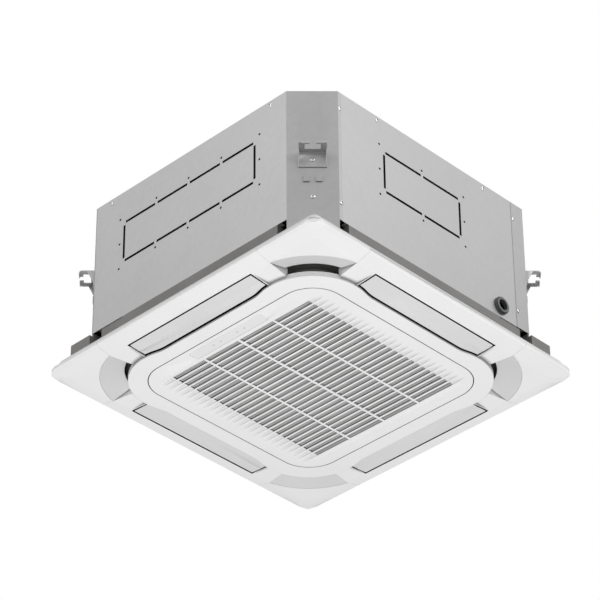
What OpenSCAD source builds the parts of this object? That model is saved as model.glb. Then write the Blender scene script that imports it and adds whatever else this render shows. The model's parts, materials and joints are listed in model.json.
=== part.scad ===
// Four-way ceiling cassette air conditioner, built from separate pieces.
// Origin: centre of the ceiling cut-out, in the plane of the ceiling's underside.
// +Z points up into the ceiling void, +X is called east and +Y is called north.

/* [Casing] */
// Width of the square sheet casing over its flat walls
casing_w = 842; // [820:2:860]
// Height of the casing walls
casing_h = 395; // [380:1:410]
// Height of the casing walls' lower edge above the ceiling plane
casing_z = 85; // [80:1:95]
// Chamfer leg of the south-west and north-east corners
wide_leg = 90; // [80:1:96]
// Chamfer leg of the south-east and north-west corners
slim_leg = 58; // [52:1:64]
// Thickness of the galvanised sheet
sheet_t = 1; // [0.8:0.1:1.4]
// Thickness of the foam liner inside the walls
liner_t = 16; // [12:1:18]

/* [Hangers] */
// Height of the hanger shelf above the ceiling plane
hanger_z = 287; // [270:1:300]
// Width of a hanger bracket
hanger_w = 70; // [66:1:76]
// Reach of the brackets on the wide chamfers
long_reach = 48; // [46:1:52]
// Reach of the brackets on the slim chamfers
short_reach = 41; // [40:1:46]
// Width of the mouth that passes a hanging rod
mouth_w = 17; // [14:1:20]

/* [Panel] */
// Width of the square decorative panel
panel_w = 950; // [940:2:970]
// Depth of the panel's lip below its gasket
lip_t = 12; // [10:1:14]
// Thickness of the foam gasket between lip and ceiling
gasket_t = 3; // [2:0.5:4]
// Drop of the sloping rim from the lip's bevel to the deck
rim_drop = 9; // [7:1:11]
// Radius of the panel's corners
panel_corner_r = 20; // [12:1:28]
// Drop of the central ring below the deck
ring_drop = 9; // [7:1:11]
// Wall thickness of the moulded panel
skin_t = 3; // [2.5:0.1:3.5]
// Width of the sloping rim, from the panel's edge to its deck
rim_w = 44; // [42:1:46]

/* [Louvers] */
// Length of one louver
louver_l = 431; // [420:1:433]
// Clearance at a louver's outer edge and ends
louver_gap = 2.5; // [2:0.1:3]
// Clearance along a louver's inner edge
louver_inner_gap = 4; // [3.8:0.1:5]

/* [Grille door] */
// Width of the square grille door
door_w = 632; // [620:1:634]
// Corner radius of the grille door
door_r = 88; // [80:1:92]
// Gap round the grille door
door_gap = 2.5; // [2:0.1:3]
// Number of slots across the grille
slot_rows = 26; // [18:1:28]
// Number of slot columns between the cross ribs
slot_columns = 4; // [3:1:5]

/* [Fan] */
// Outer radius of the turbo fan
fan_r = 238; // [220:1:244]
// Number of backward-curved blades
blade_count = 7; // [5:1:9]
// Height of the blades between backplate and shroud
blade_h = 200; // [180:1:206]

/* [Hidden] */
$fn = 48;

// One overrun for every cut
over = 1;
// Clearance between pieces that rest side by side
seat_gap = 0.3;

// Casing
casing_half = casing_w / 2;
casing_top = casing_z + casing_h;
flange_w = 14;
diag_share = 2 - sqrt(2);
liner_in = 2 * sheet_t + seat_gap;
south_narrow_flange = 11;
south_wide_flange = 45;
bead_h = 4;
bead_w = 26;
bead_l = 470;
motor_pad_r = 118;
inner_flange = 20;
fold_back = 6;

// Knock-outs punched in the west and south walls
knock_h = 122;
knock_rise = 172;
knock_z = casing_z + knock_rise;
west_knock_w = 474;
west_knock_y = 17;
south_knock_w = 280;
south_knock_x = -26;
knock_slit = 4;
knock_bridge = 9;
pilot_r = 2.2;
pilot_off = 17;

// Screws
screw_head_r = 5;
screw_head_t = 2.6;
screw_r = 2;
screw_l = 2.2;
screw_fit = 0.1;
screw_drop = 13;
west_screw_a = 307;
west_screw_b = 275;
south_screw_a = 190;
south_screw_b = 210;
flange_screw = 325;
flange_screw_rise = 52;

// Rubber grommet in the south wall
grommet_x = 257;
grommet_rise = 34;
grommet_z = casing_z + grommet_rise;
grommet_r = 24;
grommet_bore_r = 15;
grommet_neck_r = 19;
grommet_out = 10;
grommet_bead = 2;
grommet_round = 3;
liner_lip = 2;

// Hangers
hanger_t = 2.5;
hanger_back_h = 46;
hanger_lip_h = 7;
hanger_slot_w = 39;
hanger_slot_l = 19;
hanger_tip = 11;
hanger_corner = 6;
gusset_l = 20;
hanger_hole_drop = 24;
lance_w = 15;
lance_h = 17;
lance_out = 3;
lance_y = 15.5;
lance_drop = 81;
chamfer_screw_drop = 134;

// Panel levels, from the ceiling plane down
lip_back_z = -gasket_t;
lip_z = lip_back_z - lip_t;
deck_z = lip_z - rim_drop;
ring_z = deck_z - ring_drop;
panel_half = panel_w / 2;
deck_half = panel_half - rim_w;
lip_bevel = 4;
upstand_in = 20;
upstand_half = panel_half - upstand_in;
upstand_r = 6;
pan_z = 22;
gasket_w = 15;
gasket_inset = 2;

// Outline of the central ring: flat sides and four lobes joined by inside fillets
ring_in = 71;
ring_half = deck_half - ring_in;
lobe_in = 208;
lobe_at = deck_half - lobe_in;
lobe_r = 147;
lobe_fillet = 120;

// Corner recesses with their curved air slots
recess_in = 194;
recess_at = deck_half - recess_in;
recess_r = 199;
recess_rise = 21;
throat_r = 137;
recess_tip_in = 148;
recess_tip = deck_half - recess_tip_in;
heel_in_x = 74;
recess_heel_x = deck_half - heel_in_x;
heel_in_y = 160;
recess_heel_y = deck_half - heel_in_y;
lobe_wall_h = 14;
bay_rim_h = 5;

// Louver bays
bay_half = louver_l / 2 + louver_gap;
bay_top_x = casing_half - liner_in - liner_t - seat_gap;
bay_step = 2;
bay_in_x = ring_half - bay_step;
pivot_in = 41;
pivot_x = deck_half - pivot_in;
pivot_rise = 12;
pivot_z = deck_z + pivot_rise;
pin_room = 1.5;
louver_t = 3;
louver_rise = 3;
pin_r = 3;
pin_l = 11;
pin_fit = 0.06;
bush_r = 7;
bush_l = 9;
lmotor_r = 13;
lmotor_l = 16;
lmotor_ear = 17;
lmotor_ear_w = 8;
lmotor_ear_t = 2;
lmotor_rise = 5;
louver_camber = 0.8;
lug_t = 3;
lug_r = 6;
lug_foot = 14;

// Door, hinge and grille
door_half = door_w / 2;
door_z = ring_z;
door_wall_h = 14;
door_wall_t = 2.5;
hinge_in = 5;
hinge_x = hinge_in - door_half;
hinge_rise = 3;
hinge_z = door_z + hinge_rise;
hinge_pin_r = 1.2;
hinge_fit = 0.06;
knuckle_r = 2.8;
knuckle_l = 16;
ear_l = 10;
ear_y = 190;
ear_r = 2.2;
ear_back = 0.3;
ear_room = 2;
ear_bar_rise = 18;
ear_bar_z = door_z + ear_bar_rise;
slot_pitch = 20.4;
slot_w = 14;
slot_first_x = -249;
column_pitch = 121.5;
rib_w = 7;
field_w = (slot_rows - 1) * slot_pitch + slot_w;
field_x = slot_first_x + (slot_rows - 1) * slot_pitch / 2;
field_l = slot_columns * column_pitch;
flute_l = 48;
flute_depth = 2.4;
flute_tip_w = 3;
dish_depth = 2.5;
dish_margin = 15;
pad_t = 5;
pad_edge = 6;
pad_reach = 30;
pad_lap = 1;
pad_top = door_z + skin_t + pad_t - pad_lap;

// Receiver window in the door
window_x = -288;
window_y = 4;
window_w = 31;
window_l = 251;
window_r = 6;
window_t = 1.2;
window_lap = 2.5;
led_r = 2.5;
led_ys = [-52, -27, 31, 56];
board_t = 1.6;
board_gap = 4;
board_w = 27;
board_over = 14.5;
board_l = window_l + 2 * board_over;
board_z = door_z + skin_t + board_gap;
board_post_r = 2;
board_post_in = 7;
led_h = board_gap - window_t - seat_gap;

// Air filter
filter_lap_x = 3;
filter_lap_y = 7;
filter_w = field_w + 2 * filter_lap_x;
filter_l = field_l + 2 * filter_lap_y;
filter_t = 6;
filter_bar = 8;
filter_net_t = 0.8;
filter_cells = 4;
filter_z = pad_top;

// Latches
latch_in = 24;
latch_x = door_half - latch_in;
latch_y = 150;
latch_r = 4;
latch_fit = 0.1;
latch_body_w = 22;
latch_body_h = 20;
latch_collar = 2;
latch_tip_rise = 16;
latch_rise = 25;
latch_tip_z = door_z + latch_tip_rise;
latch_body_z = door_z + latch_rise;
latch_travel = 3;
catch_w = 18;

// Drain pan
pan_top = casing_z;
pan_hole_r = 252;
gutter_in = 264;
gutter_out = 342;
gutter_d = 20;
block_half = 433;
block_h = 52;
block_in = 359;
block_r = 5;
notch_w = 29;
notch_d = 46;
west_south_notch = 299;
patch_in = 253;
patch_depth = 2;
patch_h = 26;
gutter_r = 80;
corner_duct_in_r = 122;
corner_duct_out_r = 148;
corner_duct_half = 24;

// Bell mouth
throat_in_r = 186;
bell_t = 2.5;
bell_round = 60;
bell_lap = 6;
bell_flange_r = pan_hole_r + bell_lap;
bell_z = pan_z - bell_t;
bell_neck = 6;

// Fan and motor
backplate_drop = 92;
backplate_z = casing_top - backplate_drop;
shroud_z = backplate_z - blade_h;
fan_t = 3;
fan_eye_r = 196;
collar_h = 14;
bell_top = shroud_z - collar_h + bell_neck;
hub_top_r = 112;
hub_low_r = 44;
hub_drop = 72;
hub_low_z = backplate_z - hub_drop;
boss_r = 18;
boss_h = 17;
blade_in_r = 138;
blade_sweep = 34;
blade_t = 6;
blade_lean = 38;
sweep_share = 0.35;
edge_share = 0.12;
belly_share = 1.9;
shaft_r = 6;
shaft_fit = 0.05;
motor_r = 74;
motor_h = 62;
motor_gap = 12;
motor_z = backplate_z + motor_gap;
motor_nose = 8;
motor_nose_r = 16;
ear_t = 4;
shaft_below = 12;
shaft_low = hub_low_z - shaft_below;
shaft_in = 46;
fan_nut_h = 9;
fan_nut_r = 11;
mount_step = 2;
mount_r = 11;
mount_at = 88;
mount_ear = 14;

// Coil
coil_out = 336;
coil_in = 270;
coil_r = 74;
coil_z = pan_top - gutter_d;
coil_drop = 26;
coil_top = casing_top - coil_drop;
coil_gap_at = 236;
end_plate_t = 2;
tube_r = 4;
bend_r = 11;
bend_rows = 9;
bend_pitch = 40;
tube_inset = 14;

// Pipes on the north-east corner
pipe_rise = 265;
pipe_z = casing_z + pipe_rise;
gas_r = 7.94;
liquid_r = 4.76;
gas_off = 26;
liquid_off = -26;
pipe_out = 46;
pipe_y = 300;
elbow_wall = 1;
pipe_fit = 0.4;
pipe_bore_share = 0.7;
gas_thread_r = 11.1;
liquid_thread_r = 7.94;
thread_l = 18;
nut_l = 10;
nut_wall = 2;
drain_rise = 318;
drain_z = casing_z + drain_rise;
drain_r = 16;
drain_bore_r = 12.5;
drain_l = 46;
drain_flange_r = 24;
drain_flange_t = 3;

// Drain pump and float
pump_at = 300;
pump_r = 24;
pump_h = 70;
pump_rise = 14;
pump_z = pan_top + pump_rise;
pump_top = pump_z + pump_h;
pump_foot_r = 9;
pump_pipe_r = 8;
float_r = 9;
float_h = 16;
float_stem_r = 3;
float_off = 46;
float_arm = 8;
float_arm_rise = 12;
float_arm_z = pump_z + float_arm_rise;

// Control box beside the bell mouth
box_x = -289;
box_w = 54;
box_l = 372;
box_h = 34;
box_t = 1.2;
box_lap = 8;
board_in = 6;
board_at = -150;
circuit_l = 180;
terminal_at = 60;
terminal_w = 20;
terminal_l = 90;
terminal_h = 14;

// Panel bolts, and the tab that takes the one at the south-west
bolt_in = 75;
bolt_at = panel_half - bolt_in;
bolt_r = 3;
bolt_fit = 0.3;
bolt_l = 44;
bolt_head_r = 6;
bolt_head_h = 4;
tab_w = 30;

// Clip posts of the corner covers
post_in_x = 32;
post_x = panel_half - post_in_x;
post_in_y = 145;
post_y = panel_half - post_in_y;
post_sink = 5;
post_z = deck_z + post_sink;
post_r = 4;

// Points of an arc about a centre, from angle a to angle b
function arc(cx, cy, r, a, b, n) =
  [for (i = [0 : n]) let (t = a + (b - a) * i / n) [cx + r * cos(t), cy + r * sin(t)]];

// Corners of the chamfered casing, drawn in by d
function casing_points(d) =
  let (h = casing_half - d, a = wide_leg - d * diag_share, b = slim_leg - d * diag_share)
  [[h, h - a], [h - a, h], [b - h, h], [-h, h - b], [-h, a - h], [a - h, -h], [h - b, -h], [h, b - h]];

// One lobe of the ring's outline, grown by g, for the north-east quadrant
function lobe_points(g) =
  let (
    fx = ring_half + lobe_fillet,
    dx = fx - lobe_at,
    dy = sqrt(pow(lobe_r + lobe_fillet, 2) - dx * dx),
    fy = lobe_at - dy,
    a = atan2(lobe_at - fy, lobe_at - fx)
  )
  concat(
    arc(fx, fy, lobe_fillet - g, 180, a, 6),
    arc(lobe_at, lobe_at, lobe_r + g, a - 180, 270 - a, 24),
    [for (p = arc(fx, fy, lobe_fillet - g, a, 180, 6)) [p[1], p[0]]]
  );

// The ring's whole outline, grown by g
function ring_points(g) =
  [for (k = [0 : 3]) each [for (p = lobe_points(g))
    [p[0] * cos(90 * k) - p[1] * sin(90 * k), p[0] * sin(90 * k) + p[1] * cos(90 * k)]]];

// Square with true round corners
module round_square(half, r) {
  square([2 * half, 2 * (half - r)], center = true);
  square([2 * (half - r), 2 * half], center = true);
  for (x = [-1, 1], y = [-1, 1]) translate([x * (half - r), y * (half - r)]) circle(r);
}

// Ring between two round-cornered squares
module round_frame(half, r, t) {
  difference() {
    round_square(half, r);
    round_square(half - t, r - t);
  }
}

// Turns a shape drawn on the east side, k = 0, to north, west and south
module on_side(k) rotate([0, 0, 90 * k]) children();

// Puts a shape drawn outwards along +X on the chamfer of corner k
module on_corner(k, radial) rotate([0, 0, 45 + 90 * k]) translate([radial, 0, 0]) children();

// Distance of a chamfer's face from the centre
function chamfer_at(leg) = (2 * casing_half - leg) / sqrt(2);
function leg_of(k) = k % 2 == 0 ? wide_leg : slim_leg;

// Flat bar along Y at the east side: thickness in X, from y0 to y1, from z0 to z1
module east_wall(x0, x1, y0, y1, z0, z1) translate([x0, y0, z0]) cube([x1 - x0, y1 - y0, z1 - z0]);

// Side wall drawn at the east: a plain wall with folded top and bottom flanges
module side_wall(y0, y1) {
  x1 = casing_half;
  miter = sheet_t * (1 - diag_share);
  end = inner_flange + seat_gap;
  east_wall(x1 - sheet_t, x1, y0 + miter, y1 - miter, casing_z, casing_top - sheet_t);
  east_wall(x1 - flange_w, x1 - sheet_t, y0 + end, y1 - end, casing_z, casing_z + sheet_t);
  east_wall(x1 - flange_w, x1 - sheet_t, y0 + end, y1 - end,
    casing_top - 2 * sheet_t, casing_top - sheet_t);
}

// Dashed outline of a knock-out, its pilot holes beside it, cut through an east wall
module knock_out(centre, width, bridges) {
  x0 = casing_half - sheet_t - over;
  x1 = casing_half + over;
  edge = width / 2;
  span = width / (bridges + 1);
  for (z = [knock_z, knock_z + knock_h]) {
    for (i = [0 : bridges]) {
      y0 = centre - edge + i * span + knock_bridge / 2;
      east_wall(x0, x1, y0, y0 + span - knock_bridge, z - knock_slit / 2, z + knock_slit / 2);
    }
    for (i = [0 : bridges + 1]) {
      pilot(centre - edge + i * span + (i == 0 ? -pilot_off : i == bridges + 1 ? pilot_off : 0),
        z + (z == knock_z ? -pilot_off : pilot_off));
    }
  }
  for (s = [-1, 1]) {
    east_wall(x0, x1, centre + s * edge - knock_slit / 2, centre + s * edge + knock_slit / 2,
      knock_z + knock_bridge, knock_z + knock_h - knock_bridge);
    pilot(centre + s * (edge + pilot_off), knock_z + knock_h / 2);
  }
}

// Small pilot hole through an east wall
module pilot(y, z) {
  translate([casing_half - sheet_t - over, y, z]) rotate([0, 90, 0])
    cylinder(r = pilot_r, h = sheet_t + 2 * over, $fn = 24);
}

// Point of the north-east corner where an east wall drawn in by d meets the chamfer of a leg
function fold_point(d, leg) = [casing_half - d, casing_half - leg - d * (1 - diag_share)];
function swapped(p) = [p[1], p[0]];

// Screws along each wall: place along the wall, drawn on the east side, and height
west_screws = [[-west_screw_a, casing_top - screw_drop], [west_screw_b, casing_top - screw_drop]];
south_screws = [[-flange_screw, casing_top - flange_screw_rise],
  [-flange_screw, casing_z + flange_screw_rise],
  [-south_screw_a, casing_top - screw_drop], [south_screw_b, casing_top - screw_drop],
  [flange_screw, casing_top - flange_screw_rise], [flange_screw, casing_z + flange_screw_rise]];

module top_plate() color("silver") {
  translate([0, 0, casing_top - sheet_t]) difference() {
    union() {
      linear_extrude(sheet_t) polygon(casing_points(0));
      translate([0, 0, sheet_t]) cylinder(r = motor_pad_r, h = bead_h);
      for (k = [0 : 3]) on_corner(k, 0) translate([0, -bead_w / 2, sheet_t]) cube([bead_l, bead_w, bead_h]);
    }
    translate([0, 0, -over]) cylinder(r = motor_pad_r - sheet_t, h = bead_h + over);
    for (k = [0 : 3]) on_corner(k, 0) translate([0, sheet_t - bead_w / 2, -over])
      cube([bead_l - sheet_t, bead_w - 2 * sheet_t, bead_h + over]);
  }
}

module side_plate_east() color("silver") difference() {
  side_wall(slim_leg - casing_half, casing_half - wide_leg);
  for (p = west_screws) wall_hole(p);
}

module side_plate_north() color("silver") on_side(1) difference() {
  side_wall(wide_leg - casing_half, casing_half - slim_leg);
  for (p = south_screws) wall_hole(p);
}

module side_plate_west() color("silver") on_side(2) difference() {
  side_wall(slim_leg - casing_half, casing_half - wide_leg);
  knock_out(-west_knock_y, west_knock_w, 3);
  for (p = west_screws) wall_hole(p);
}

module side_plate_south() color("silver") on_side(3) difference() {
  side_wall(wide_leg - casing_half, casing_half - slim_leg);
  knock_out(south_knock_x, south_knock_w, 1);
  for (p = south_screws) wall_hole(p);
  translate([casing_half - sheet_t - over, grommet_x, grommet_z]) rotate([0, 90, 0])
    cylinder(r = grommet_neck_r, h = sheet_t + 2 * over);
}

// Hole for a sheet screw through the walls and flanges at the east side
module wall_hole(p) translate([casing_half - 2 * sheet_t - over, p[0], p[1]]) rotate([0, 90, 0])
  cylinder(r = screw_r + screw_fit, h = 3 * sheet_t + 2 * over);

// Flange of a corner plate along the east wall: outside it, or inside it when w is zero
module corner_flange(leg, w) {
  d0 = w > 0 ? 0 : 2 * sheet_t;
  d1 = d0 - sheet_t;
  y0 = casing_half - leg - (w > 0 ? w : inner_flange);
  back = [-fold_back, fold_back];
  polygon([[casing_half - d0, y0], [casing_half - d1, y0], fold_point(d1, leg),
    fold_point(d1, leg) + back, fold_point(d0, leg) + back, fold_point(d0, leg)]);
}

// Corner plate of corner k: a chamfer and two flanges, wa along one wall and wb along the next
module corner_plate(k, z0, wa, wb) on_side(k) {
  leg = leg_of(k);
  difference() {
    union() {
      translate([0, 0, z0]) linear_extrude(casing_top - sheet_t - z0) {
        polygon([fold_point(-sheet_t, leg), swapped(fold_point(-sheet_t, leg)),
          swapped(fold_point(sheet_t, leg)), fold_point(sheet_t, leg)]);
      }
      translate([0, 0, casing_z]) linear_extrude(casing_h - sheet_t) {
        corner_flange(leg, wa);
        mirror([1, -1, 0]) corner_flange(leg, wb);
      }
    }
    rotate([0, 0, 45]) translate([chamfer_at(leg) - 2 * sheet_t - over, 0, 0]) {
      for (drop = [hanger_hole_drop, chamfer_screw_drop]) translate([0, 0, hanger_z - drop])
        rotate([0, 90, 0]) cylinder(r = screw_r + screw_fit, h = 4 * sheet_t + 2 * over);
    }
    if (wa > 0) for (p = south_screws) wall_hole(p);
    if (wb > 0) mirror([1, -1, 0]) for (p = south_screws) mirror([0, 1, 0]) wall_hole(p);
  }
  rotate([0, 0, 45]) for (s = [-1, 1])
    translate([chamfer_at(leg) + sheet_t, s * lance_y, hanger_z - lance_drop]) lance();
}

// Pressed bridge that holds a cable tie, standing out of a chamfer
module lance() difference() {
  translate([-sheet_t / 2, -lance_w / 2, -lance_h / 2]) cube([lance_out + sheet_t / 2, lance_w, lance_h]);
  translate([-over, -lance_w / 2 - over, -lance_h / 2 + sheet_t])
    cube([lance_out - sheet_t + over, lance_w + 2 * over, lance_h - 2 * sheet_t]);
}

module corner_plate_sw() color("gainsboro") {
  corner_plate(2, pan_z, 0, south_narrow_flange);
  bolt_tab(2);
}

module corner_plate_se() color("gainsboro") corner_plate(3, casing_z, south_wide_flange, 0);

module corner_plate_ne() color("gainsboro") difference() {
  corner_plate(0, casing_z, 0, south_narrow_flange);
  pipe_holes(pipe_fit);
}

module corner_plate_nw() color("gainsboro") corner_plate(1, casing_z, south_wide_flange, 0);

// Tab at the foot of the south-west corner plate that takes the panel bolt
module bolt_tab(k) {
  r0 = chamfer_at(leg_of(k));
  difference() {
    on_corner(k, r0) translate([0, -tab_w / 2, pan_z])
      cube([bolt_at * sqrt(2) - r0 + tab_w / 2, tab_w, 2 * sheet_t]);
    on_side(k) translate([bolt_at, bolt_at, pan_z - over])
      cylinder(r = bolt_r + bolt_fit, h = 2 * sheet_t + 2 * over);
  }
}

// Holes for the two pipes and the drain through the north-east chamfer and its liner
module pipe_holes(fit) on_corner(0, chamfer_at(wide_leg) - liner_in - liner_t - over) {
  pipe_hole(gas_off, pipe_z, gas_r + fit);
  pipe_hole(liquid_off, pipe_z, liquid_r + fit);
  pipe_hole(0, drain_z, pump_pipe_r + fit);
}

module pipe_hole(y, z, r) translate([0, y, z]) rotate([0, 90, 0])
  cylinder(r = r, h = liner_in + liner_t + 2 * sheet_t + 2 * over);

// Hanger bracket, drawn outwards along +X from the chamfer's face, with its open rod slot
module hanger(k, reach) color("lightgray")
on_corner(k, chamfer_at(leg_of(k)) + sheet_t) translate([0, 0, hanger_z]) {
  half = hanger_w / 2;
  cut = half - hanger_corner;
  difference() {
    union() {
      translate([0, 0, -hanger_t]) linear_extrude(hanger_t)
        polygon([[0, -half], [reach - hanger_corner, -half], [reach, -cut], [reach, cut],
          [reach - hanger_corner, half], [0, half]]);
      translate([0, -half, -hanger_back_h]) cube([hanger_t, hanger_w, hanger_back_h]);
      translate([reach - hanger_t, hanger_corner - half, -hanger_lip_h])
        cube([hanger_t, hanger_w - 2 * hanger_corner, hanger_lip_h]);
    }
    translate([reach - hanger_tip - hanger_slot_l, -hanger_slot_w / 2, -hanger_t - over])
      cube([hanger_slot_l, hanger_slot_w, hanger_t + 2 * over]);
    translate([reach - hanger_tip - over, -mouth_w / 2, -hanger_lip_h - over])
      cube([hanger_tip + 2 * over, mouth_w, hanger_lip_h + 2 * over]);
    translate([-over, 0, -hanger_hole_drop]) rotate([0, 90, 0])
      cylinder(r = screw_r + screw_fit, h = hanger_t + 2 * over);
  }
  for (s = [-1, 1]) translate([0, s * (half - hanger_t / 2) + hanger_t / 2, 0]) rotate([90, 0, 0])
    linear_extrude(hanger_t) polygon([[0, 0], [gusset_l, 0], [0, -hanger_back_h + hanger_t]]);
}

module hanger_sw() hanger(2, long_reach);
module hanger_se() hanger(3, short_reach);
module hanger_ne() hanger(0, long_reach);
module hanger_nw() hanger(1, short_reach);

// Round-headed sheet screw whose head rests on a face at x = 0
module sheet_screw(l) rotate([0, 90, 0]) {
  cylinder(r1 = screw_head_r, r2 = screw_head_r / 2, h = screw_head_t);
  translate([0, 0, -l]) cylinder(r = screw_r, h = l + over / 2);
}

module casing_screws() color("dimgray") {
  for (k = [0, 2]) on_side(k) for (p = west_screws) translate([casing_half, p[0], p[1]]) sheet_screw(screw_l);
  on_flange = casing_half - slim_leg - south_wide_flange;
  for (k = [1, 3]) on_side(k) for (p = south_screws)
    translate([casing_half + (abs(p[0]) > on_flange ? sheet_t : 0), p[0], p[1]]) sheet_screw(screw_l);
}

module hanger_screws() color("dimgray") for (k = [0 : 3]) on_corner(k, chamfer_at(leg_of(k)) + sheet_t) {
  translate([hanger_t, 0, hanger_z - hanger_hole_drop]) sheet_screw(hanger_t + screw_l);
  translate([0, 0, hanger_z - chamfer_screw_drop]) sheet_screw(screw_l);
}

// Rubber grommet snapped into the south wall for the supply cable
module cable_grommet() color([0.2, 0.2, 0.2]) on_side(3) translate([casing_half, grommet_x, grommet_z])
  rotate([0, 90, 0]) rotate_extrude() polygon([[grommet_bore_r, -sheet_t - liner_lip],
    [grommet_neck_r + grommet_bead, -sheet_t - liner_lip], [grommet_neck_r + grommet_bead, -sheet_t],
    [grommet_neck_r, -sheet_t], [grommet_neck_r, 0], [grommet_r, 0], [grommet_r, grommet_out - grommet_round],
    [grommet_r - grommet_round, grommet_out], [grommet_bore_r, grommet_out]]);

module foam_liner() color([0.35, 0.35, 0.36]) difference() {
  z0 = casing_z + sheet_t + seat_gap;
  translate([0, 0, z0]) linear_extrude(casing_top - 2 * sheet_t - seat_gap - z0) difference() {
    polygon(casing_points(liner_in));
    polygon(casing_points(liner_in + liner_t));
  }
  pipe_holes(2 * pipe_fit);
  on_side(3) translate([casing_half - liner_in - liner_t - over, grommet_x, grommet_z]) rotate([0, 90, 0])
    cylinder(r = grommet_neck_r + grommet_bead + over, h = liner_t + 2 * over);
}

// Plan of the drain pan between its notches, with the corner blocks left to be added
module pan_plan() difference() {
  polygon(casing_points(0));
  circle(pan_hole_r);
  for (k = [0 : 3]) rotate(90 * k) {
    translate([bay_in_x, -bay_half]) square([bay_top_x - bay_in_x, 2 * bay_half]);
    corner_duct();
  }
  for (k = [0, 1, 3]) rotate(90 * k) for (m = [0, 1]) mirror([m, -m])
    translate([casing_half - notch_d, block_in - notch_w]) square([notch_d + over, notch_w]);
  rotate(180) for (m = [0, 1]) mirror([m, -m])
    translate([casing_half - notch_d, west_south_notch])
      square([notch_d + over, casing_half - wide_leg - west_south_notch + sheet_t]);
}

// Curved duct over the air slot of the north-east corner
module corner_duct() translate([recess_at, recess_at]) difference() {
  intersection() {
    circle(corner_duct_out_r);
    polygon([[0, 0], for (a = [-1, 1])
      2 * corner_duct_out_r * [cos(45 + a * corner_duct_half), sin(45 + a * corner_duct_half)]]);
  }
  circle(corner_duct_in_r);
}

module drain_pan() color([0.5, 0.5, 0.5]) difference() {
  union() {
    translate([0, 0, pan_z]) linear_extrude(pan_top - pan_z) difference() {
      pan_plan();
      rotate(180) polygon([fold_point(-over, wide_leg), swapped(fold_point(-over, wide_leg)),
        swapped(fold_point(liner_in, wide_leg)), fold_point(liner_in, wide_leg)]);
    }
    for (k = [0, 1, 3]) on_side(k) translate([0, 0, pan_z]) linear_extrude(block_h) corner_block();
  }
  translate([0, 0, pan_top - gutter_d]) linear_extrude(gutter_d + over) difference() {
    round_square(gutter_out, gutter_r);
    round_square(gutter_in, gutter_r);
  }
  translate([box_x - box_w / 2 - seat_gap, -box_l / 2 - seat_gap, pan_z - over])
    cube([box_w + 2 * seat_gap, box_l + 2 * seat_gap, box_h + seat_gap + over]);
  for (k = [0, 1, 3]) on_side(k) translate([bolt_at, bolt_at, pan_z - over])
    cylinder(r = bolt_r + bolt_fit, h = bolt_l - pan_z + gasket_t + over);
  for (k = [2, 3]) on_side(k) mirror([0, 3 - k, 0])
    translate([casing_half - patch_depth, patch_in, pan_top - patch_h])
      cube([patch_depth + over, block_in - notch_w - patch_in, patch_h + over]);
}

// Square corner block of the pan that stands a little proud of the walls
module corner_block() difference() {
  translate([block_in, block_in]) {
    square([block_half - block_in - block_r, block_half - block_in]);
    square([block_half - block_in, block_half - block_in - block_r]);
    translate([block_half - block_in - block_r, block_half - block_in - block_r]) circle(block_r);
  }
  corner_duct();
}

module bell_mouth() color([0.86, 0.86, 0.84]) rotate_extrude() {
  polygon(concat([[throat_in_r, bell_top], [throat_in_r, bell_z + bell_round]],
    arc(throat_in_r + bell_round, bell_z + bell_round, bell_round, 180, 270, 8),
    [[bell_flange_r, bell_z], [bell_flange_r, bell_z + bell_t]],
    arc(throat_in_r + bell_round, bell_z + bell_round, bell_round - bell_t, 270, 180, 8),
    [[throat_in_r + bell_t, bell_top]]));
}

module fan_motor() color([0.55, 0.56, 0.58]) difference() {
  union() {
    translate([0, 0, motor_z]) cylinder(r = motor_r, h = motor_h);
    translate([0, 0, motor_z - motor_nose]) cylinder(r = motor_nose_r, h = motor_nose + over);
    for (k = [0 : 3]) on_corner(k, 0) translate([0, -mount_ear / 2, motor_z + motor_h - ear_t])
      cube([mount_at, mount_ear, ear_t]);
    for (k = [0 : 3]) on_corner(k, mount_at) translate([0, 0, motor_z + motor_h - ear_t])
      cylinder(r = mount_r, h = ear_t);
  }
  translate([0, 0, motor_z - motor_nose - over]) cylinder(r = shaft_r + shaft_fit, h = motor_h - ear_t);
}

module motor_mounts() color([0.12, 0.12, 0.12]) for (k = [0 : 3]) on_corner(k, mount_at)
  translate([0, 0, motor_z + motor_h])
    cylinder(r = mount_r - mount_step, h = casing_top + bead_h - sheet_t - motor_z - motor_h);

module motor_shaft() color("silver") translate([0, 0, shaft_low])
  cylinder(r = shaft_r, h = motor_z + shaft_in - shaft_low);

// Side s of a backward-curved blade at the share t of its length: an airfoil that leans back
function blade_side(t, s) =
  let (
    r = blade_in_r + (fan_r - fan_t - blade_in_r) * t,
    a = -blade_sweep * t * (1 + sweep_share * (1 - t)),
    w = s * blade_t * (edge_share + belly_share * sqrt(t) * (1 - t)) / 2
  )
  [r * cos(a) - w * sin(a - blade_lean), r * sin(a) + w * cos(a - blade_lean)];

module blade_plan() {
  n = 10;
  polygon(concat([for (i = [0 : n]) blade_side(i / n, 1)], [for (i = [n : -1 : 0]) blade_side(i / n, -1)]));
}

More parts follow.
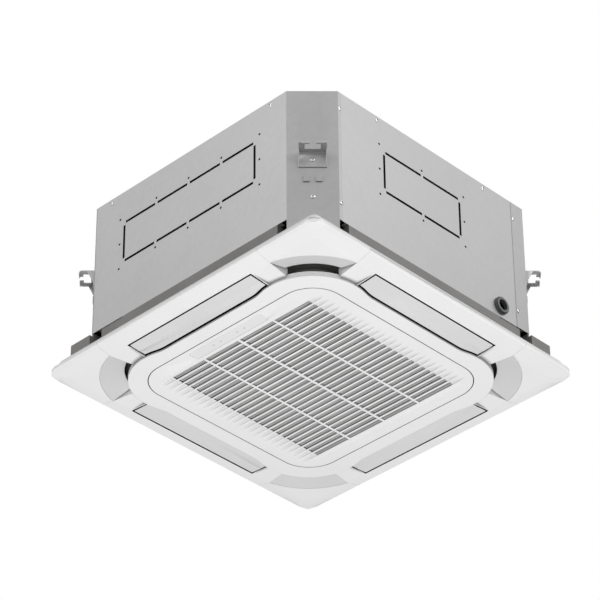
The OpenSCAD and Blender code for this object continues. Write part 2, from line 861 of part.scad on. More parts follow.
module turbo_fan() color([0.2, 0.21, 0.23]) {
  bore = shaft_r + shaft_fit;
  rotate_extrude() polygon([[bore, hub_low_z], [hub_low_r, hub_low_z], [hub_top_r, backplate_z],
    [fan_r, backplate_z], [fan_r, backplate_z + fan_t], [hub_top_r - fan_t, backplate_z + fan_t],
    [hub_low_r - fan_t, hub_low_z + fan_t], [boss_r, hub_low_z + fan_t], [boss_r, hub_low_z + boss_h],
    [bore, hub_low_z + boss_h]]);
  rotate_extrude() polygon([[fan_eye_r - fan_t, shroud_z - collar_h], [fan_eye_r, shroud_z - collar_h],
    [fan_eye_r, shroud_z - fan_t], [fan_r, shroud_z - fan_t], [fan_r, shroud_z],
    [fan_eye_r - fan_t, shroud_z]]);
  for (i = [0 : blade_count - 1]) rotate([0, 0, i * 360 / blade_count]) translate([0, 0, shroud_z])
    linear_extrude(blade_h) blade_plan();
}

module fan_nut() color("silver") translate([0, 0, hub_low_z - fan_nut_h]) difference() {
  cylinder(r = fan_nut_r, h = fan_nut_h, $fn = 6);
  translate([0, 0, -over]) cylinder(r = shaft_r + shaft_fit, h = fan_nut_h + 2 * over);
}

// Plan of the coil: a rounded square ring, open at the north-east corner
module coil_plan() difference() {
  round_square(coil_out, coil_r);
  round_square(coil_in, coil_r - (coil_out - coil_in));
  translate([coil_gap_at, coil_gap_at]) square(coil_out);
}

module coil_fins() color([0.8, 0.82, 0.84]) translate([0, 0, coil_z])
  linear_extrude(coil_top - coil_z) coil_plan();

module coil_end_plates() color("silver") for (m = [0, 1]) mirror([m, -m, 0])
  translate([coil_gap_at, coil_in, coil_z]) cube([end_plate_t, coil_out - coil_in, coil_top - coil_z]);

module coil_tubes() color([0.72, 0.45, 0.25]) for (m = [0, 1]) mirror([m, -m, 0])
  for (i = [0 : bend_rows - 1], y = [coil_in + tube_inset, coil_out - tube_inset])
    translate([coil_gap_at + end_plate_t, y, coil_z + bend_pitch * (i + 0.5)])
      rotate([90, 0, 0]) rotate([0, 0, -90]) rotate_extrude(angle = 180)
        translate([bend_r, 0]) circle(tube_r);

// Upright elbow block of radius r where two pipes meet
module elbow(r) translate([0, 0, -r]) cylinder(r = r, h = 2 * r);

// Pipe from the coil's end plate round one elbow and out through the chamfer
module corner_pipe(off, r, thread_r) {
  x0 = pipe_y - abs(off) * sqrt(2);
  turned = (x0 + pipe_y) / sqrt(2);
  mirror([off > 0 ? 0 : 1, off > 0 ? 0 : -1, 0]) difference() {
    union() {
      translate([coil_gap_at + end_plate_t, pipe_y, pipe_z]) rotate([0, 90, 0])
        cylinder(r = r, h = x0 - coil_gap_at - end_plate_t);
      translate([x0, pipe_y, pipe_z]) elbow(r + elbow_wall);
      on_corner(0, turned) translate([0, abs(off), pipe_z]) rotate([0, 90, 0]) {
        l = chamfer_at(wide_leg) + pipe_out - turned;
        cylinder(r = r, h = l);
        translate([0, 0, l - over]) cylinder(r = thread_r + nut_wall, h = nut_l + over, $fn = 6);
        translate([0, 0, l + over]) cylinder(r = thread_r, h = nut_l + thread_l - over);
      }
    }
    on_corner(0, chamfer_at(wide_leg)) translate([0, abs(off), pipe_z]) rotate([0, 90, 0])
      cylinder(r = r * pipe_bore_share, h = pipe_out + nut_l + thread_l + over);
  }
}

module gas_pipe() color([0.75, 0.48, 0.28]) corner_pipe(gas_off, gas_r, gas_thread_r);
module liquid_pipe() color([0.75, 0.48, 0.28]) corner_pipe(liquid_off, liquid_r, liquid_thread_r);

module drain_socket() color([0.85, 0.85, 0.83]) {
  face = chamfer_at(wide_leg) + sheet_t;
  pump_r0 = pump_at * sqrt(2);
  on_corner(0, 0) {
    translate([pump_r0, 0, pump_top]) cylinder(r = pump_pipe_r, h = drain_z - pump_top);
    translate([pump_r0, 0, drain_z]) elbow(pump_pipe_r + elbow_wall);
    translate([pump_r0, 0, drain_z]) rotate([0, 90, 0]) cylinder(r = pump_pipe_r, h = face - pump_r0);
    translate([face, 0, drain_z]) rotate([0, 90, 0]) difference() {
      union() {
        cylinder(r = drain_flange_r, h = drain_flange_t);
        cylinder(r = drain_r, h = drain_l);
      }
      translate([0, 0, drain_flange_t]) cylinder(r = drain_bore_r, h = drain_l);
    }
  }
}

module drain_pump() color([0.9, 0.9, 0.88]) {
  translate([pump_at, pump_at, coil_z]) cylinder(r = pump_foot_r, h = pump_z - coil_z + over);
  translate([pump_at, pump_at, pump_z]) cylinder(r = pump_r, h = pump_h);
  translate([pump_at - float_off, pump_at, coil_z])
    cylinder(r = float_stem_r, h = float_arm_z + float_arm - coil_z);
  translate([pump_at - float_off - float_stem_r, pump_at - float_arm / 2, float_arm_z])
    cube([float_off, float_arm, float_arm]);
}

module pump_float() color("white") translate([pump_at - float_off, pump_at, coil_z + seat_gap]) difference() {
  cylinder(r = float_r, h = float_h);
  translate([0, 0, -over]) cylinder(r = float_stem_r + latch_fit, h = float_h + 2 * over);
}

module control_box() color([0.75, 0.76, 0.77])
translate([box_x - box_w / 2, -box_l / 2, pan_z]) difference() {
  cube([box_w, box_l, box_h]);
  translate([box_t, box_t, -over]) cube([box_w - 2 * box_t, box_l - 2 * box_t, box_h - box_t + over]);
}

module control_box_cover() color([0.78, 0.79, 0.8])
  translate([box_x - box_w / 2, -box_l / 2 - box_lap, pan_z - box_t])
    cube([box_w, box_l + 2 * box_lap, box_t]);

module terminal_block() color([0.15, 0.35, 0.2]) {
  z1 = pan_z + box_h - box_t;
  translate([box_x - box_w / 2 + board_in, board_at, z1 - board_t])
    cube([box_w - 2 * board_in, circuit_l, board_t]);
  translate([box_x - terminal_w / 2, terminal_at, z1 - terminal_h])
    cube([terminal_w, terminal_l, terminal_h]);
}

// Full-width section of the panel's outer face: lip, bevel, sloping rim and flat deck
function rim_outer() = [[-panel_half, lip_back_z], [-panel_half, lip_z + lip_bevel],
  [lip_bevel - panel_half, lip_z], [-deck_half, deck_z], [deck_half, deck_z],
  [panel_half - lip_bevel, lip_z], [panel_half, lip_z + lip_bevel],
  [panel_half, lip_back_z]];
function rim_inner() = let (u = upstand_half - skin_t) [[-u, over], [-u, lip_z + skin_t],
  [-deck_half, deck_z + skin_t], [deck_half, deck_z + skin_t], [u, lip_z + skin_t], [u, over]];

// A section run both ways across the panel and kept where the two meet, so its corners are mitred
module both_ways(points) intersection() {
  run(points, panel_w + 2 * over);
  rotate([0, 0, 90]) run(points, panel_w + 2 * over);
}

// A section in the XZ plane run along Y, centred
module run(points, l) translate([0, l / 2, 0]) rotate([90, 0, 0]) linear_extrude(l) polygon(points);

module panel_skin() difference() {
  intersection() {
    both_ways(rim_outer());
    translate([0, 0, deck_z - over]) linear_extrude(lip_back_z - deck_z + over)
      round_square(panel_half, panel_corner_r);
  }
  both_ways(rim_inner());
}

// Plan of one corner cover at the north-east, drawn in by g
module cover_plan(g) difference() {
  translate([recess_tip + g, recess_tip + g]) square(panel_half);
  translate([recess_at, recess_at]) circle(recess_r + g);
}

// Straight-sided plan of a corner recess, grown by g
module recess_wedge(g) polygon([[recess_heel_x, recess_heel_y - g], [deck_half, recess_tip - g],
  [panel_half, recess_tip - g], [panel_half, panel_half], [recess_tip - g, panel_half],
  [recess_tip - g, deck_half], [recess_heel_y - g, recess_heel_x]]);

module recess_cone(g) intersection() {
  translate([recess_at, recess_at, deck_z]) {
    if (g > 0) cylinder(r = recess_r, h = g);
    translate([0, 0, g]) cylinder(r1 = recess_r, r2 = throat_r, h = recess_rise);
  }
  translate([0, 0, deck_z]) linear_extrude(recess_rise + g) recess_wedge(g);
}

module recess_cut() {
  recess_cone(0);
  translate([0, 0, deck_z - over]) linear_extrude(over + seat_gap) intersection() {
    recess_wedge(0);
    translate([recess_at, recess_at]) circle(recess_r);
  }
  translate([0, 0, deck_z]) linear_extrude(recess_rise + skin_t + over) intersection() {
    recess_wedge(0);
    translate([recess_at, recess_at]) circle(throat_r);
  }
}

// Air bay at the east side: slanted outer wall, two end walls and an inner wall
module bay_walls() {
  y1 = bay_half + skin_t;
  translate([0, y1, 0]) rotate([90, 0, 0]) linear_extrude(2 * y1) {
    polygon([[deck_half, deck_z], [deck_half + skin_t, deck_z + skin_t], [bay_top_x + skin_t, pan_z],
      [bay_top_x, pan_z]]);
    translate([bay_in_x - skin_t, ring_z]) square([skin_t, pan_z - ring_z]);
  }
  for (s = [-1, 1]) translate([0, s * (bay_half + skin_t / 2) + skin_t / 2, 0]) rotate([90, 0, 0])
    linear_extrude(skin_t) difference() {
      polygon([[bay_in_x - skin_t, ring_z + skin_t], [deck_half - skin_t, deck_z + seat_gap],
        [deck_half, deck_z + seat_gap], [bay_top_x + skin_t, pan_z], [bay_in_x - skin_t, pan_z]]);
      translate([pivot_x, pivot_z]) circle(pin_r + pin_room);
    }
}

module ring_rim() difference() {
  polygon(ring_points(0));
  polygon(ring_points(-skin_t));
}

module panel_ring() {
  open_half = door_half + door_gap;
  open_r = door_r + door_gap;
  translate([0, 0, ring_z]) {
    linear_extrude(skin_t) difference() {
      polygon(ring_points(0));
      round_square(open_half, open_r);
    }
    linear_extrude(bay_rim_h) ring_rim();
    linear_extrude(lobe_wall_h) difference() {
      ring_rim();
      for (k = [0 : 3]) on_side(k) translate([bay_in_x, -bay_half]) square([panel_half, 2 * bay_half]);
    }
    linear_extrude(pan_z - ring_z) round_frame(open_half + skin_t, open_r + skin_t, skin_t);
  }
}

// Ear that hangs from the frame's inner wall and holds a hinge pin
module hinge_ear(y) translate([0, y + ear_l / 2, 0]) rotate([90, 0, 0]) linear_extrude(ear_l) difference() {
  union() {
    translate([hinge_x, hinge_z]) circle(ear_r);
    translate([hinge_x - ear_back, hinge_z]) square([ear_r + ear_back, ear_bar_z - hinge_z + skin_t]);
    translate([-door_half - door_gap - skin_t / 2, ear_bar_z])
      square([hinge_x + ear_r + door_half + door_gap + skin_t / 2, skin_t]);
  }
  translate([hinge_x, hinge_z]) circle(hinge_pin_r + hinge_fit);
}

module panel_frame() color([0.93, 0.93, 0.92]) {
  difference() {
    union() {
      difference() {
        panel_skin();
        for (k = [0 : 3]) on_side(k) {
          translate([0, 0, deck_z - over]) linear_extrude(lip_back_z - deck_z + 2 * over) cover_plan(0);
          translate([bay_in_x - skin_t, -bay_half, deck_z - over])
            cube([deck_half - bay_in_x + skin_t, 2 * bay_half, skin_t + 2 * over]);
        }
        translate([0, 0, deck_z - over]) linear_extrude(skin_t + 2 * over) polygon(ring_points(-skin_t));
      }
      for (k = [0 : 3]) on_side(k) {
        difference() {
          recess_cone(skin_t);
          translate([0, 0, deck_z - over]) linear_extrude(recess_rise + skin_t + 2 * over)
            polygon(ring_points(-skin_t));
        }
        translate([0, 0, lip_back_z]) linear_extrude(skin_t) difference() {
          translate([recess_tip - skin_t, recess_tip - skin_t]) square(upstand_half - recess_tip + skin_t);
          translate([recess_at, recess_at]) circle(throat_r);
          translate([bolt_at, bolt_at]) circle(bolt_r + bolt_fit);
        }
      }
      translate([0, 0, lip_back_z]) linear_extrude(pan_z - lip_back_z)
        round_frame(upstand_half, upstand_r, skin_t);
    }
    for (k = [0 : 3]) on_side(k) recess_cut();
  }
  for (k = [0 : 3]) on_side(k) bay_walls();
  panel_ring();
  for (y = [-ear_y, ear_y]) hinge_ear(y);
}

module ceiling_gasket() color([0.45, 0.45, 0.45]) translate([0, 0, lip_back_z]) linear_extrude(gasket_t)
  round_frame(panel_half - gasket_inset, panel_corner_r - gasket_inset, gasket_w);

// Corner cover with two clip posts that reach up to the frame's seat
module corner_cover(k) color([0.94, 0.94, 0.93]) on_side(k) {
  intersection() {
    panel_skin();
    translate([0, 0, deck_z - over]) linear_extrude(lip_back_z - deck_z + over) cover_plan(seat_gap);
  }
  for (m = [0, 1]) mirror([m, -m, 0]) translate([post_x, post_y, post_z])
    cylinder(r = post_r, h = lip_back_z - post_z);
}

module corner_cover_sw() corner_cover(2);
module corner_cover_se() corner_cover(3);
module corner_cover_ne() corner_cover(0);
module corner_cover_nw() corner_cover(1);

module panel_bolts() color("silver") for (k = [0 : 3]) on_side(k) translate([bolt_at, bolt_at, lip_back_z]) {
  translate([0, 0, -bolt_head_h]) cylinder(r = bolt_head_r, h = bolt_head_h, $fn = 6);
  translate([0, 0, -over / 2]) cylinder(r = bolt_r, h = bolt_l);
}

// Louver drawn at the east: a shallow blade cut to the ring's curve, end lugs and pins
module louver(k) color([0.85, 0.85, 0.85]) on_side(k) {
  x1 = deck_half - louver_gap;
  half = louver_l / 2;
  intersection() {
    translate([0, half, 0]) rotate([90, 0, 0]) linear_extrude(louver_l) polygon([
      [ring_half, deck_z - louver_rise],
      [(ring_half + x1) / 2, deck_z - louver_rise / 2 - louver_camber],
      [x1, deck_z], [x1, deck_z + louver_t / 2],
      [(ring_half + x1) / 2, deck_z - louver_rise / 2 - louver_camber + louver_t],
      [ring_half, deck_z - louver_rise + louver_t]]);
    translate([0, 0, ring_z]) linear_extrude(pan_z - ring_z) difference() {
      translate([bay_in_x, -half]) square([x1 - bay_in_x, louver_l]);
      polygon(ring_points(louver_inner_gap));
    }
  }
  for (s = [-1, 1]) {
    translate([0, s * (half - lug_t / 2) + lug_t / 2, 0]) rotate([90, 0, 0]) linear_extrude(lug_t) {
      translate([pivot_x, pivot_z]) circle(lug_r);
      polygon([[pivot_x - lug_foot, deck_z], [pivot_x + lug_foot, deck_z], [pivot_x + lug_r, pivot_z],
        [pivot_x - lug_r, pivot_z]]);
    }
    translate([pivot_x, s > 0 ? half - lug_t : -half - pin_l, pivot_z]) rotate([-90, 0, 0])
      cylinder(r = pin_r, h = pin_l + lug_t);
  }
}

module louver_west() louver(2);
module louver_south() louver(3);
module louver_east() louver(0);
module louver_north() louver(1);

// Stepping motors behind the bays' south-hand end walls, each on a pin
module louver_motors() color([0.3, 0.3, 0.32]) for (k = [0 : 3]) on_side(k)
  translate([pivot_x, -bay_half - skin_t - lmotor_l, pivot_z]) rotate([-90, 0, 0]) difference() {
    union() {
      translate([0, -lmotor_rise, 0]) cylinder(r = lmotor_r, h = lmotor_l);
      translate([-lmotor_ear, -lmotor_rise - lmotor_ear_w / 2, lmotor_l - lmotor_ear_t])
        cube([2 * lmotor_ear, lmotor_ear_w, lmotor_ear_t]);
    }
    translate([0, 0, lmotor_l - pin_l]) cylinder(r = pin_r + pin_fit, h = pin_l + over);
  }

module louver_bushes() color([0.9, 0.9, 0.88]) for (k = [0 : 3]) on_side(k)
  translate([pivot_x, bay_half + skin_t, pivot_z]) rotate([-90, 0, 0]) difference() {
    cylinder(r = bush_r, h = bush_l);
    translate([0, 0, -over]) cylinder(r = pin_r + pin_fit, h = pin_l + over);
  }

// Tapered flute that fades from a slot's end into the face of the door, depth d at the slot
module flute(d) intersection() {
  linear_extrude(d + over) polygon([[-slot_w / 2, 0], [-flute_tip_w / 2, flute_l], [flute_tip_w / 2, flute_l],
    [slot_w / 2, 0]]);
  rotate([90, 0, 90]) translate([0, 0, -slot_w]) linear_extrude(2 * slot_w)
    polygon([[-over, -over], [-over, d], [0, d], [flute_l, 0], [flute_l, -over]]);
}

// Shallow dish round the grille: a trapezoid run both ways, deepest over the slots
module dish() intersection() {
  translate([field_x, 0, 0]) run(dish_section(field_w / 2, dish_margin), field_l + 2 * flute_l);
  rotate([0, 0, 90]) run(dish_section(field_l / 2, flute_l), 2 * door_w);
}

function dish_section(half, margin) = [[-half - margin, door_z - over], [-half - margin, door_z],
  [-half, door_z + dish_depth], [half, door_z + dish_depth], [half + margin, door_z],
  [half + margin, door_z - over]];

module grille_slots() {
  for (i = [0 : slot_rows - 1], j = [0 : slot_columns - 1])
    translate([slot_first_x + i * slot_pitch - slot_w / 2, (j - slot_columns / 2) * column_pitch + rib_w / 2])
      square([slot_w, column_pitch - rib_w]);
}

module door_shell() {
  translate([0, 0, door_z]) linear_extrude(skin_t) round_square(door_half, door_r);
  translate([0, 0, door_z]) linear_extrude(door_wall_h) round_frame(door_half, door_r, door_wall_t);
  translate([field_x - field_w / 2 - pad_edge, -field_l / 2 - pad_reach, door_z])
    cube([field_w + 2 * pad_edge, field_l + 2 * pad_reach, pad_top - door_z]);
  for (y = [-ear_y, ear_y]) translate([hinge_x, y + ear_l / 2 + seat_gap, hinge_z]) rotate([-90, 0, 0])
    cylinder(r = knuckle_r, h = knuckle_l);
  for (y = [-latch_y, latch_y]) translate([latch_x - catch_w / 2, y - catch_w / 2, door_z])
    cube([catch_w, catch_w, latch_tip_z - seat_gap - door_z]);
  for (x = [-1, 1], y = [-1, 1])
    translate([window_x + x * (board_w / 2 - board_post_r), window_y + y * (board_l / 2 - board_post_in)])
      translate([0, 0, door_z]) cylinder(r = board_post_r, h = board_z - door_z);
}

module grille_door() color([0.93, 0.93, 0.92]) difference() {
  door_shell();
  dish();
  translate([0, 0, door_z - over]) linear_extrude(skin_t + pad_t + 2 * over) grille_slots();
  for (i = [0 : slot_rows - 1], m = [0, 1]) mirror([0, m, 0])
    translate([slot_first_x + i * slot_pitch, (field_l - rib_w) / 2, door_z]) flute(dish_depth + flute_depth);
  translate([window_x, window_y, door_z - over]) linear_extrude(skin_t + 2 * over) window_plan(seat_gap);
  for (y = [-ear_y, ear_y]) {
    translate([hinge_x, y - ear_l / 2 - seat_gap, hinge_z]) rotate([-90, 0, 0])
      cylinder(r = ear_r + ear_back, h = ear_l + 2 * seat_gap);
    translate([-door_half - over, y - ear_l / 2 - seat_gap, hinge_z])
      cube([hinge_in + ear_r + ear_room + over, ear_l + 2 * seat_gap, door_wall_h]);
    translate([hinge_x, y - ear_l, hinge_z]) rotate([-90, 0, 0])
      cylinder(r = hinge_pin_r + hinge_fit / 2, h = 2 * ear_l + knuckle_l);
  }
}

module window_plan(g) {
  square([window_w + 2 * g, window_l - 2 * window_r], center = true);
  square([window_w - 2 * window_r, window_l + 2 * g], center = true);
  for (x = [-1, 1], y = [-1, 1]) translate([x * (window_w / 2 - window_r), y * (window_l / 2 - window_r)])
    circle(window_r + g);
}

module grille_hinge_pins() color("silver") for (y = [-ear_y, ear_y])
  translate([hinge_x, y - ear_l / 2, hinge_z]) rotate([-90, 0, 0])
    cylinder(r = hinge_pin_r, h = ear_l + knuckle_l);

module air_filter() color([0.6, 0.62, 0.64]) translate([field_x - filter_w / 2, -filter_l / 2, filter_z]) {
  step_x = (filter_w - filter_bar) / filter_cells;
  step_y = (filter_l - filter_bar) / filter_cells;
  difference() {
    cube([filter_w, filter_l, filter_t]);
    for (i = [0 : filter_cells - 1], j = [0 : filter_cells - 1])
      translate([filter_bar + i * step_x, filter_bar + j * step_y, -over])
        cube([step_x - filter_bar, step_y - filter_bar, filter_t + 2 * over]);
  }
  translate([filter_bar / 2, filter_bar / 2, filter_t / 2])
    cube([filter_w - filter_bar, filter_l - filter_bar, filter_net_t]);
}

module receiver_window() color([0.8, 0.8, 0.8]) translate([window_x, window_y, door_z]) {
  linear_extrude(skin_t + window_t) window_plan(0);
  translate([0, 0, skin_t]) linear_extrude(window_t) window_plan(window_lap);
}

module receiver_board() color([0.1, 0.4, 0.2]) {
  translate([window_x - board_w / 2, window_y - board_l / 2, board_z]) cube([board_w, board_l, board_t]);
  for (y = led_ys) translate([window_x, y, board_z - led_h]) cylinder(r = led_r, h = led_h + board_t / 2);
}

module latch_bodies() color([0.88, 0.88, 0.87]) for (y = [-latch_y, latch_y]) difference() {
  translate([latch_x - latch_body_w / 2, y - latch_body_w / 2, latch_body_z])
    cube([door_half + door_gap - latch_x + latch_body_w / 2, latch_body_w, latch_body_h]);
  translate([latch_x, y, latch_body_z - over]) cylinder(r = latch_r + latch_fit, h = latch_body_h + 2 * over);
}

module latch_plunger(y) color([0.3, 0.3, 0.32]) translate([latch_x, y, latch_tip_z]) {
  cylinder(r = latch_r, h = latch_body_z + latch_body_h - latch_tip_z);
  cylinder(r = latch_r + latch_collar, h = latch_body_z - latch_travel - seat_gap - latch_tip_z);
}

module latch_plunger_south() latch_plunger(-latch_y);
module latch_plunger_north() latch_plunger(latch_y);

top_plate();
side_plate_west();
side_plate_south();
side_plate_east();
side_plate_north();
corner_plate_sw();
corner_plate_se();
corner_plate_ne();
corner_plate_nw();
hanger_sw();
hanger_se();
hanger_ne();
hanger_nw();
casing_screws();
hanger_screws();
cable_grommet();
foam_liner();
drain_pan();
bell_mouth();
fan_motor();
motor_mounts();
motor_shaft();
turbo_fan();
fan_nut();
coil_fins();
coil_tubes();
coil_end_plates();
gas_pipe();
liquid_pipe();
drain_socket();
drain_pump();
pump_float();
control_box();
control_box_cover();
terminal_block();
panel_frame();
ceiling_gasket();
corner_cover_sw();
corner_cover_se();
corner_cover_ne();
corner_cover_nw();
panel_bolts();
louver_west();
louver_south();
louver_east();
louver_north();
louver_motors();
louver_bushes();
grille_door();
grille_hinge_pins();
air_filter();
receiver_window();
receiver_board();
latch_bodies();
latch_plunger_south();
latch_plunger_north();
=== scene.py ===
import json
import math

import bmesh
import bpy
from mathutils import Matrix, Vector


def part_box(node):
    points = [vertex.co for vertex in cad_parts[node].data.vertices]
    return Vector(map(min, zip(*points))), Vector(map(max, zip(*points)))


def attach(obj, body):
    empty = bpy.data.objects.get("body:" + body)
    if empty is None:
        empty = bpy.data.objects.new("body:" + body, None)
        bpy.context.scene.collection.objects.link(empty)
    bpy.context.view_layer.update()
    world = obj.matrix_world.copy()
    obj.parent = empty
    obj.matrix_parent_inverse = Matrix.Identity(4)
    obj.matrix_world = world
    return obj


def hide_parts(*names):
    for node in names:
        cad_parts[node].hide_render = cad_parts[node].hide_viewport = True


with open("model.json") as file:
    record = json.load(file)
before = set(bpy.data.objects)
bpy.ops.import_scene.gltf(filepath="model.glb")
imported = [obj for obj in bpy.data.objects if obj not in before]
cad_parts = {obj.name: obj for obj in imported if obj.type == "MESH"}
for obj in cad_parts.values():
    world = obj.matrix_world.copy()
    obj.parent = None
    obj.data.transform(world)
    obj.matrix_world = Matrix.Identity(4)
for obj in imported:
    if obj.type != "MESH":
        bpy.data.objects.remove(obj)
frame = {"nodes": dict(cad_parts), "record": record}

MM = 0.001
# Height of the panel's face
FACE = -33 * MM
scene = bpy.context.scene
nodes = frame["nodes"]
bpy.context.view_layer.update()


# ---------------- camera, lamps and room

# The camera, as solved from the photograph's corners and edges
SENSOR_MM, LENS_MM = 36.0, 181.8
CAMERA_PLACE = (-4.607, -4.450, -4.242)
CAMERA_FORWARD = (0.58789, 0.57252, 0.57150)
CAMERA_RIGHT = (0.70060, -0.71353, -0.00588)
# How far the lamps stand from the spot that they face
LAMP_DISTANCE, LAMP_TARGET = 6.0, (0, 0, 0.15)
# Strength of the white surroundings as a light and as a background
AMBIENT, BACKDROP = 0.28, 1.0
FLOOR_Z, FLOOR_REACH = -9.0, 14.0


def new_object(name, data):
    """An object that is linked to the scene."""
    made = bpy.data.objects.new(name, data)
    scene.collection.objects.link(made)
    return made


def make_camera():
    """The photograph's view: from below, toward the south-west corner, with a long lens."""
    data = bpy.data.cameras.new("photo_camera")
    data.sensor_width = SENSOR_MM
    data.lens = LENS_MM
    data.clip_start = 0.5
    data.clip_end = 60.0
    camera = new_object("photo_camera", data)
    forward = Vector(CAMERA_FORWARD).normalized()
    right = Vector(CAMERA_RIGHT).normalized()
    up = right.cross(forward).normalized()
    right = forward.cross(up).normalized()
    turn = Matrix((right, up, -forward)).transposed()
    camera.matrix_world = Matrix.Translation(CAMERA_PLACE) @ turn.to_4x4()
    scene.camera = camera


def soft_box(name, toward, width, share):
    """An area lamp that lights a white face square to it at that share of full white."""
    data = bpy.data.lights.new(name, "AREA")
    data.shape = "SQUARE"
    data.size = width
    data.energy = share * math.pi ** 2 * LAMP_DISTANCE ** 2
    lamp = new_object(name, data)
    direction = Vector(toward).normalized()
    lamp.location = Vector(LAMP_TARGET) + direction * LAMP_DISTANCE
    lamp.rotation_mode = "QUATERNION"
    lamp.rotation_quaternion = direction.to_track_quat("Z", "Y")


def make_room():
    """White surroundings, three soft boxes and a floor far below."""
    world = bpy.data.worlds.new("white_studio")
    scene.world = world
    world.use_nodes = True
    tree = world.node_tree
    tree.nodes.clear()
    rays = add(tree, "ShaderNodeLightPath").outputs
    seen = maths(tree, "MAXIMUM", rays["Is Camera Ray"], rays["Is Glossy Ray"])
    seen = maths(tree, "MAXIMUM", seen, rays["Is Transmission Ray"])
    white = (1, 1, 1, 1)
    soft, full = [add(tree, "ShaderNodeBackground", {}, {"Color": white, "Strength": s}).outputs[0]
                  for s in (AMBIENT, BACKDROP)]
    mixed = add(tree, "ShaderNodeMixShader", {}, {0: seen, 1: soft, 2: full})
    add(tree, "ShaderNodeOutputWorld", {}, {"Surface": mixed.outputs[0]})
    soft_box("key_soft_box", (-0.25, -0.25, -0.935), 1.6, 0.71)
    soft_box("west_fill", (-1.0, 0.15, 0.40), 3.0, 0.33)
    soft_box("south_fill", (0.15, -1.0, 0.40), 3.0, 0.475)
    mesh = bpy.data.meshes.new("studio_floor")
    corners = [(x * FLOOR_REACH, y * FLOOR_REACH, FLOOR_Z)
               for x, y in ((-1, -1), (1, -1), (1, 1), (-1, 1))]
    mesh.from_pydata(corners, [], [(0, 1, 2, 3)])
    floor = new_object("studio_floor", mesh)
    floor.data.materials.append(painted_floor())
    scene.view_settings.view_transform = "Standard"


# ---------------- materials

# Places of the four lamps under the receiver window
LAMP_X, LAMPS_Y = -0.288, (-0.052, -0.027, 0.031, 0.056)


def feed(tree, node, inputs):
    """Sets a node's inputs. One that is given a socket is linked to it."""
    for key, value in inputs.items():
        if isinstance(value, bpy.types.NodeSocket):
            tree.links.new(value, node.inputs[key])
        else:
            node.inputs[key].default_value = value


def add(tree, kind, settings=None, inputs=None):
    """A new node with its settings and inputs."""
    node = tree.nodes.new(kind)
    for key, value in (settings or {}).items():
        setattr(node, key, value)
    feed(tree, node, inputs or {})
    return node


def maths(tree, operation, *values):
    """The result of a maths node on numbers and sockets."""
    return add(tree, "ShaderNodeMath", {"operation": operation}, dict(enumerate(values))).outputs[0]


def vector(tree, parts):
    """A vector from its parts by axis. A part that is left out is 0."""
    return add(tree, "ShaderNodeCombineXYZ", {}, parts).outputs[0]


def linear(code):
    """sRGB hex to linear colour."""
    parts = [int(code[i:i + 2], 16) / 255 for i in (1, 3, 5)]
    return [c / 12.92 if c <= 0.04045 else ((c + 0.055) / 1.055) ** 2.4 for c in parts] + [1.0]


def shader(name):
    """A new material with its tree, its surface shader and its place to read patterns from."""
    material = bpy.data.materials.new(name)
    material.use_nodes = True
    tree = material.node_tree
    tree.nodes.clear()
    surface = add(tree, "ShaderNodeBsdfPrincipled")
    add(tree, "ShaderNodeOutputMaterial", {}, {"Surface": surface.outputs[0]})
    place = add(tree, "ShaderNodeTexCoord").outputs["Object"]
    return material, tree, surface, place


def surface_of(material):
    """A finished material's surface shader."""
    return next(n for n in material.node_tree.nodes if n.bl_idname == "ShaderNodeBsdfPrincipled")


def noise(tree, place, size_mm, detail=2.0, stretch=(1, 1, 1)):
    """Noise with features of about size_mm, drawn out along an axis by stretch."""
    scale = tuple(1 / (size_mm * MM * s) for s in stretch)
    turned = add(tree, "ShaderNodeMapping", {}, {"Vector": place, "Scale": scale})
    return add(tree, "ShaderNodeTexNoise", {}, {"Vector": turned.outputs[0], "Scale": 1.0,
                                                "Detail": detail}).outputs["Fac"]


def spread(tree, value, low, high, start=0.3, end=0.7):
    """A pattern's values from start to end, mapped to low to high."""
    return add(tree, "ShaderNodeMapRange", {}, {"Value": value, "From Min": start, "From Max": end,
                                                "To Min": low, "To Max": high}).outputs[0]


def two_tone(tree, factor, first, second):
    """A mix of two colours, each a hex code or a socket."""
    first, second = [linear(c) if isinstance(c, str) else c for c in (first, second)]
    mix = add(tree, "ShaderNodeMix", {"data_type": "RGBA"}, {"Factor": factor, 6: first, 7: second})
    return mix.outputs[2]


def relief(tree, surface, height, strength, depth_mm):
    """Presses a pattern into the surface as a bump."""
    bump = add(tree, "ShaderNodeBump", {}, {"Height": height, "Strength": strength,
                                            "Distance": depth_mm * MM})
    tree.links.new(bump.outputs[0], surface.inputs["Normal"])
    return bump


def moulded(name, light, dark, roughness, grain_mm=1.4, grain=0.04, metallic=0.0, edge_mm=0.0,
            crevice_mm=0.0):
    """Injection-moulded plastic: a faint spark-eroded grain and slow changes of tone where the
    melt flowed. The real grain is about 0.1 mm; it is drawn coarser so that it shows. edge_mm
    softens the look of the edges by the radius that the mould leaves. crevice_mm, when above 0,
    is how far a painted shade reaches out of gaps and grooves: an ambient-occlusion node greys the
    colour there."""
    material, tree, surface, place = shader(name)
    flow = noise(tree, place, 160, 3.0)
    fine = noise(tree, place, grain_mm)
    tone = two_tone(tree, spread(tree, flow, 0, 1), light, dark)
    # Painted shade: an ambient-occlusion node mixes the colour toward #969696 in gaps and grooves
    if crevice_mm:
        open_air = add(tree, "ShaderNodeAmbientOcclusion", {"samples": 8},
                       {"Distance": crevice_mm * MM}).outputs["AO"]
        painted_crevice_shade = spread(tree, open_air, 1.0, 0.0, start=0.6, end=0.98)
        tone = two_tone(tree, painted_crevice_shade, tone, "#969696")
    feed(tree, surface, {
        "Base Color": tone, "Metallic": metallic, "IOR": 1.5,
        "Roughness": spread(tree, fine, roughness - 0.04, roughness + 0.05)})
    bump = relief(tree, surface, fine, grain, 0.3)
    if edge_mm:
        soft = add(tree, "ShaderNodeBevel", {"samples": 4}, {"Radius": edge_mm * MM})
        tree.links.new(soft.outputs[0], bump.inputs["Normal"])
    return material


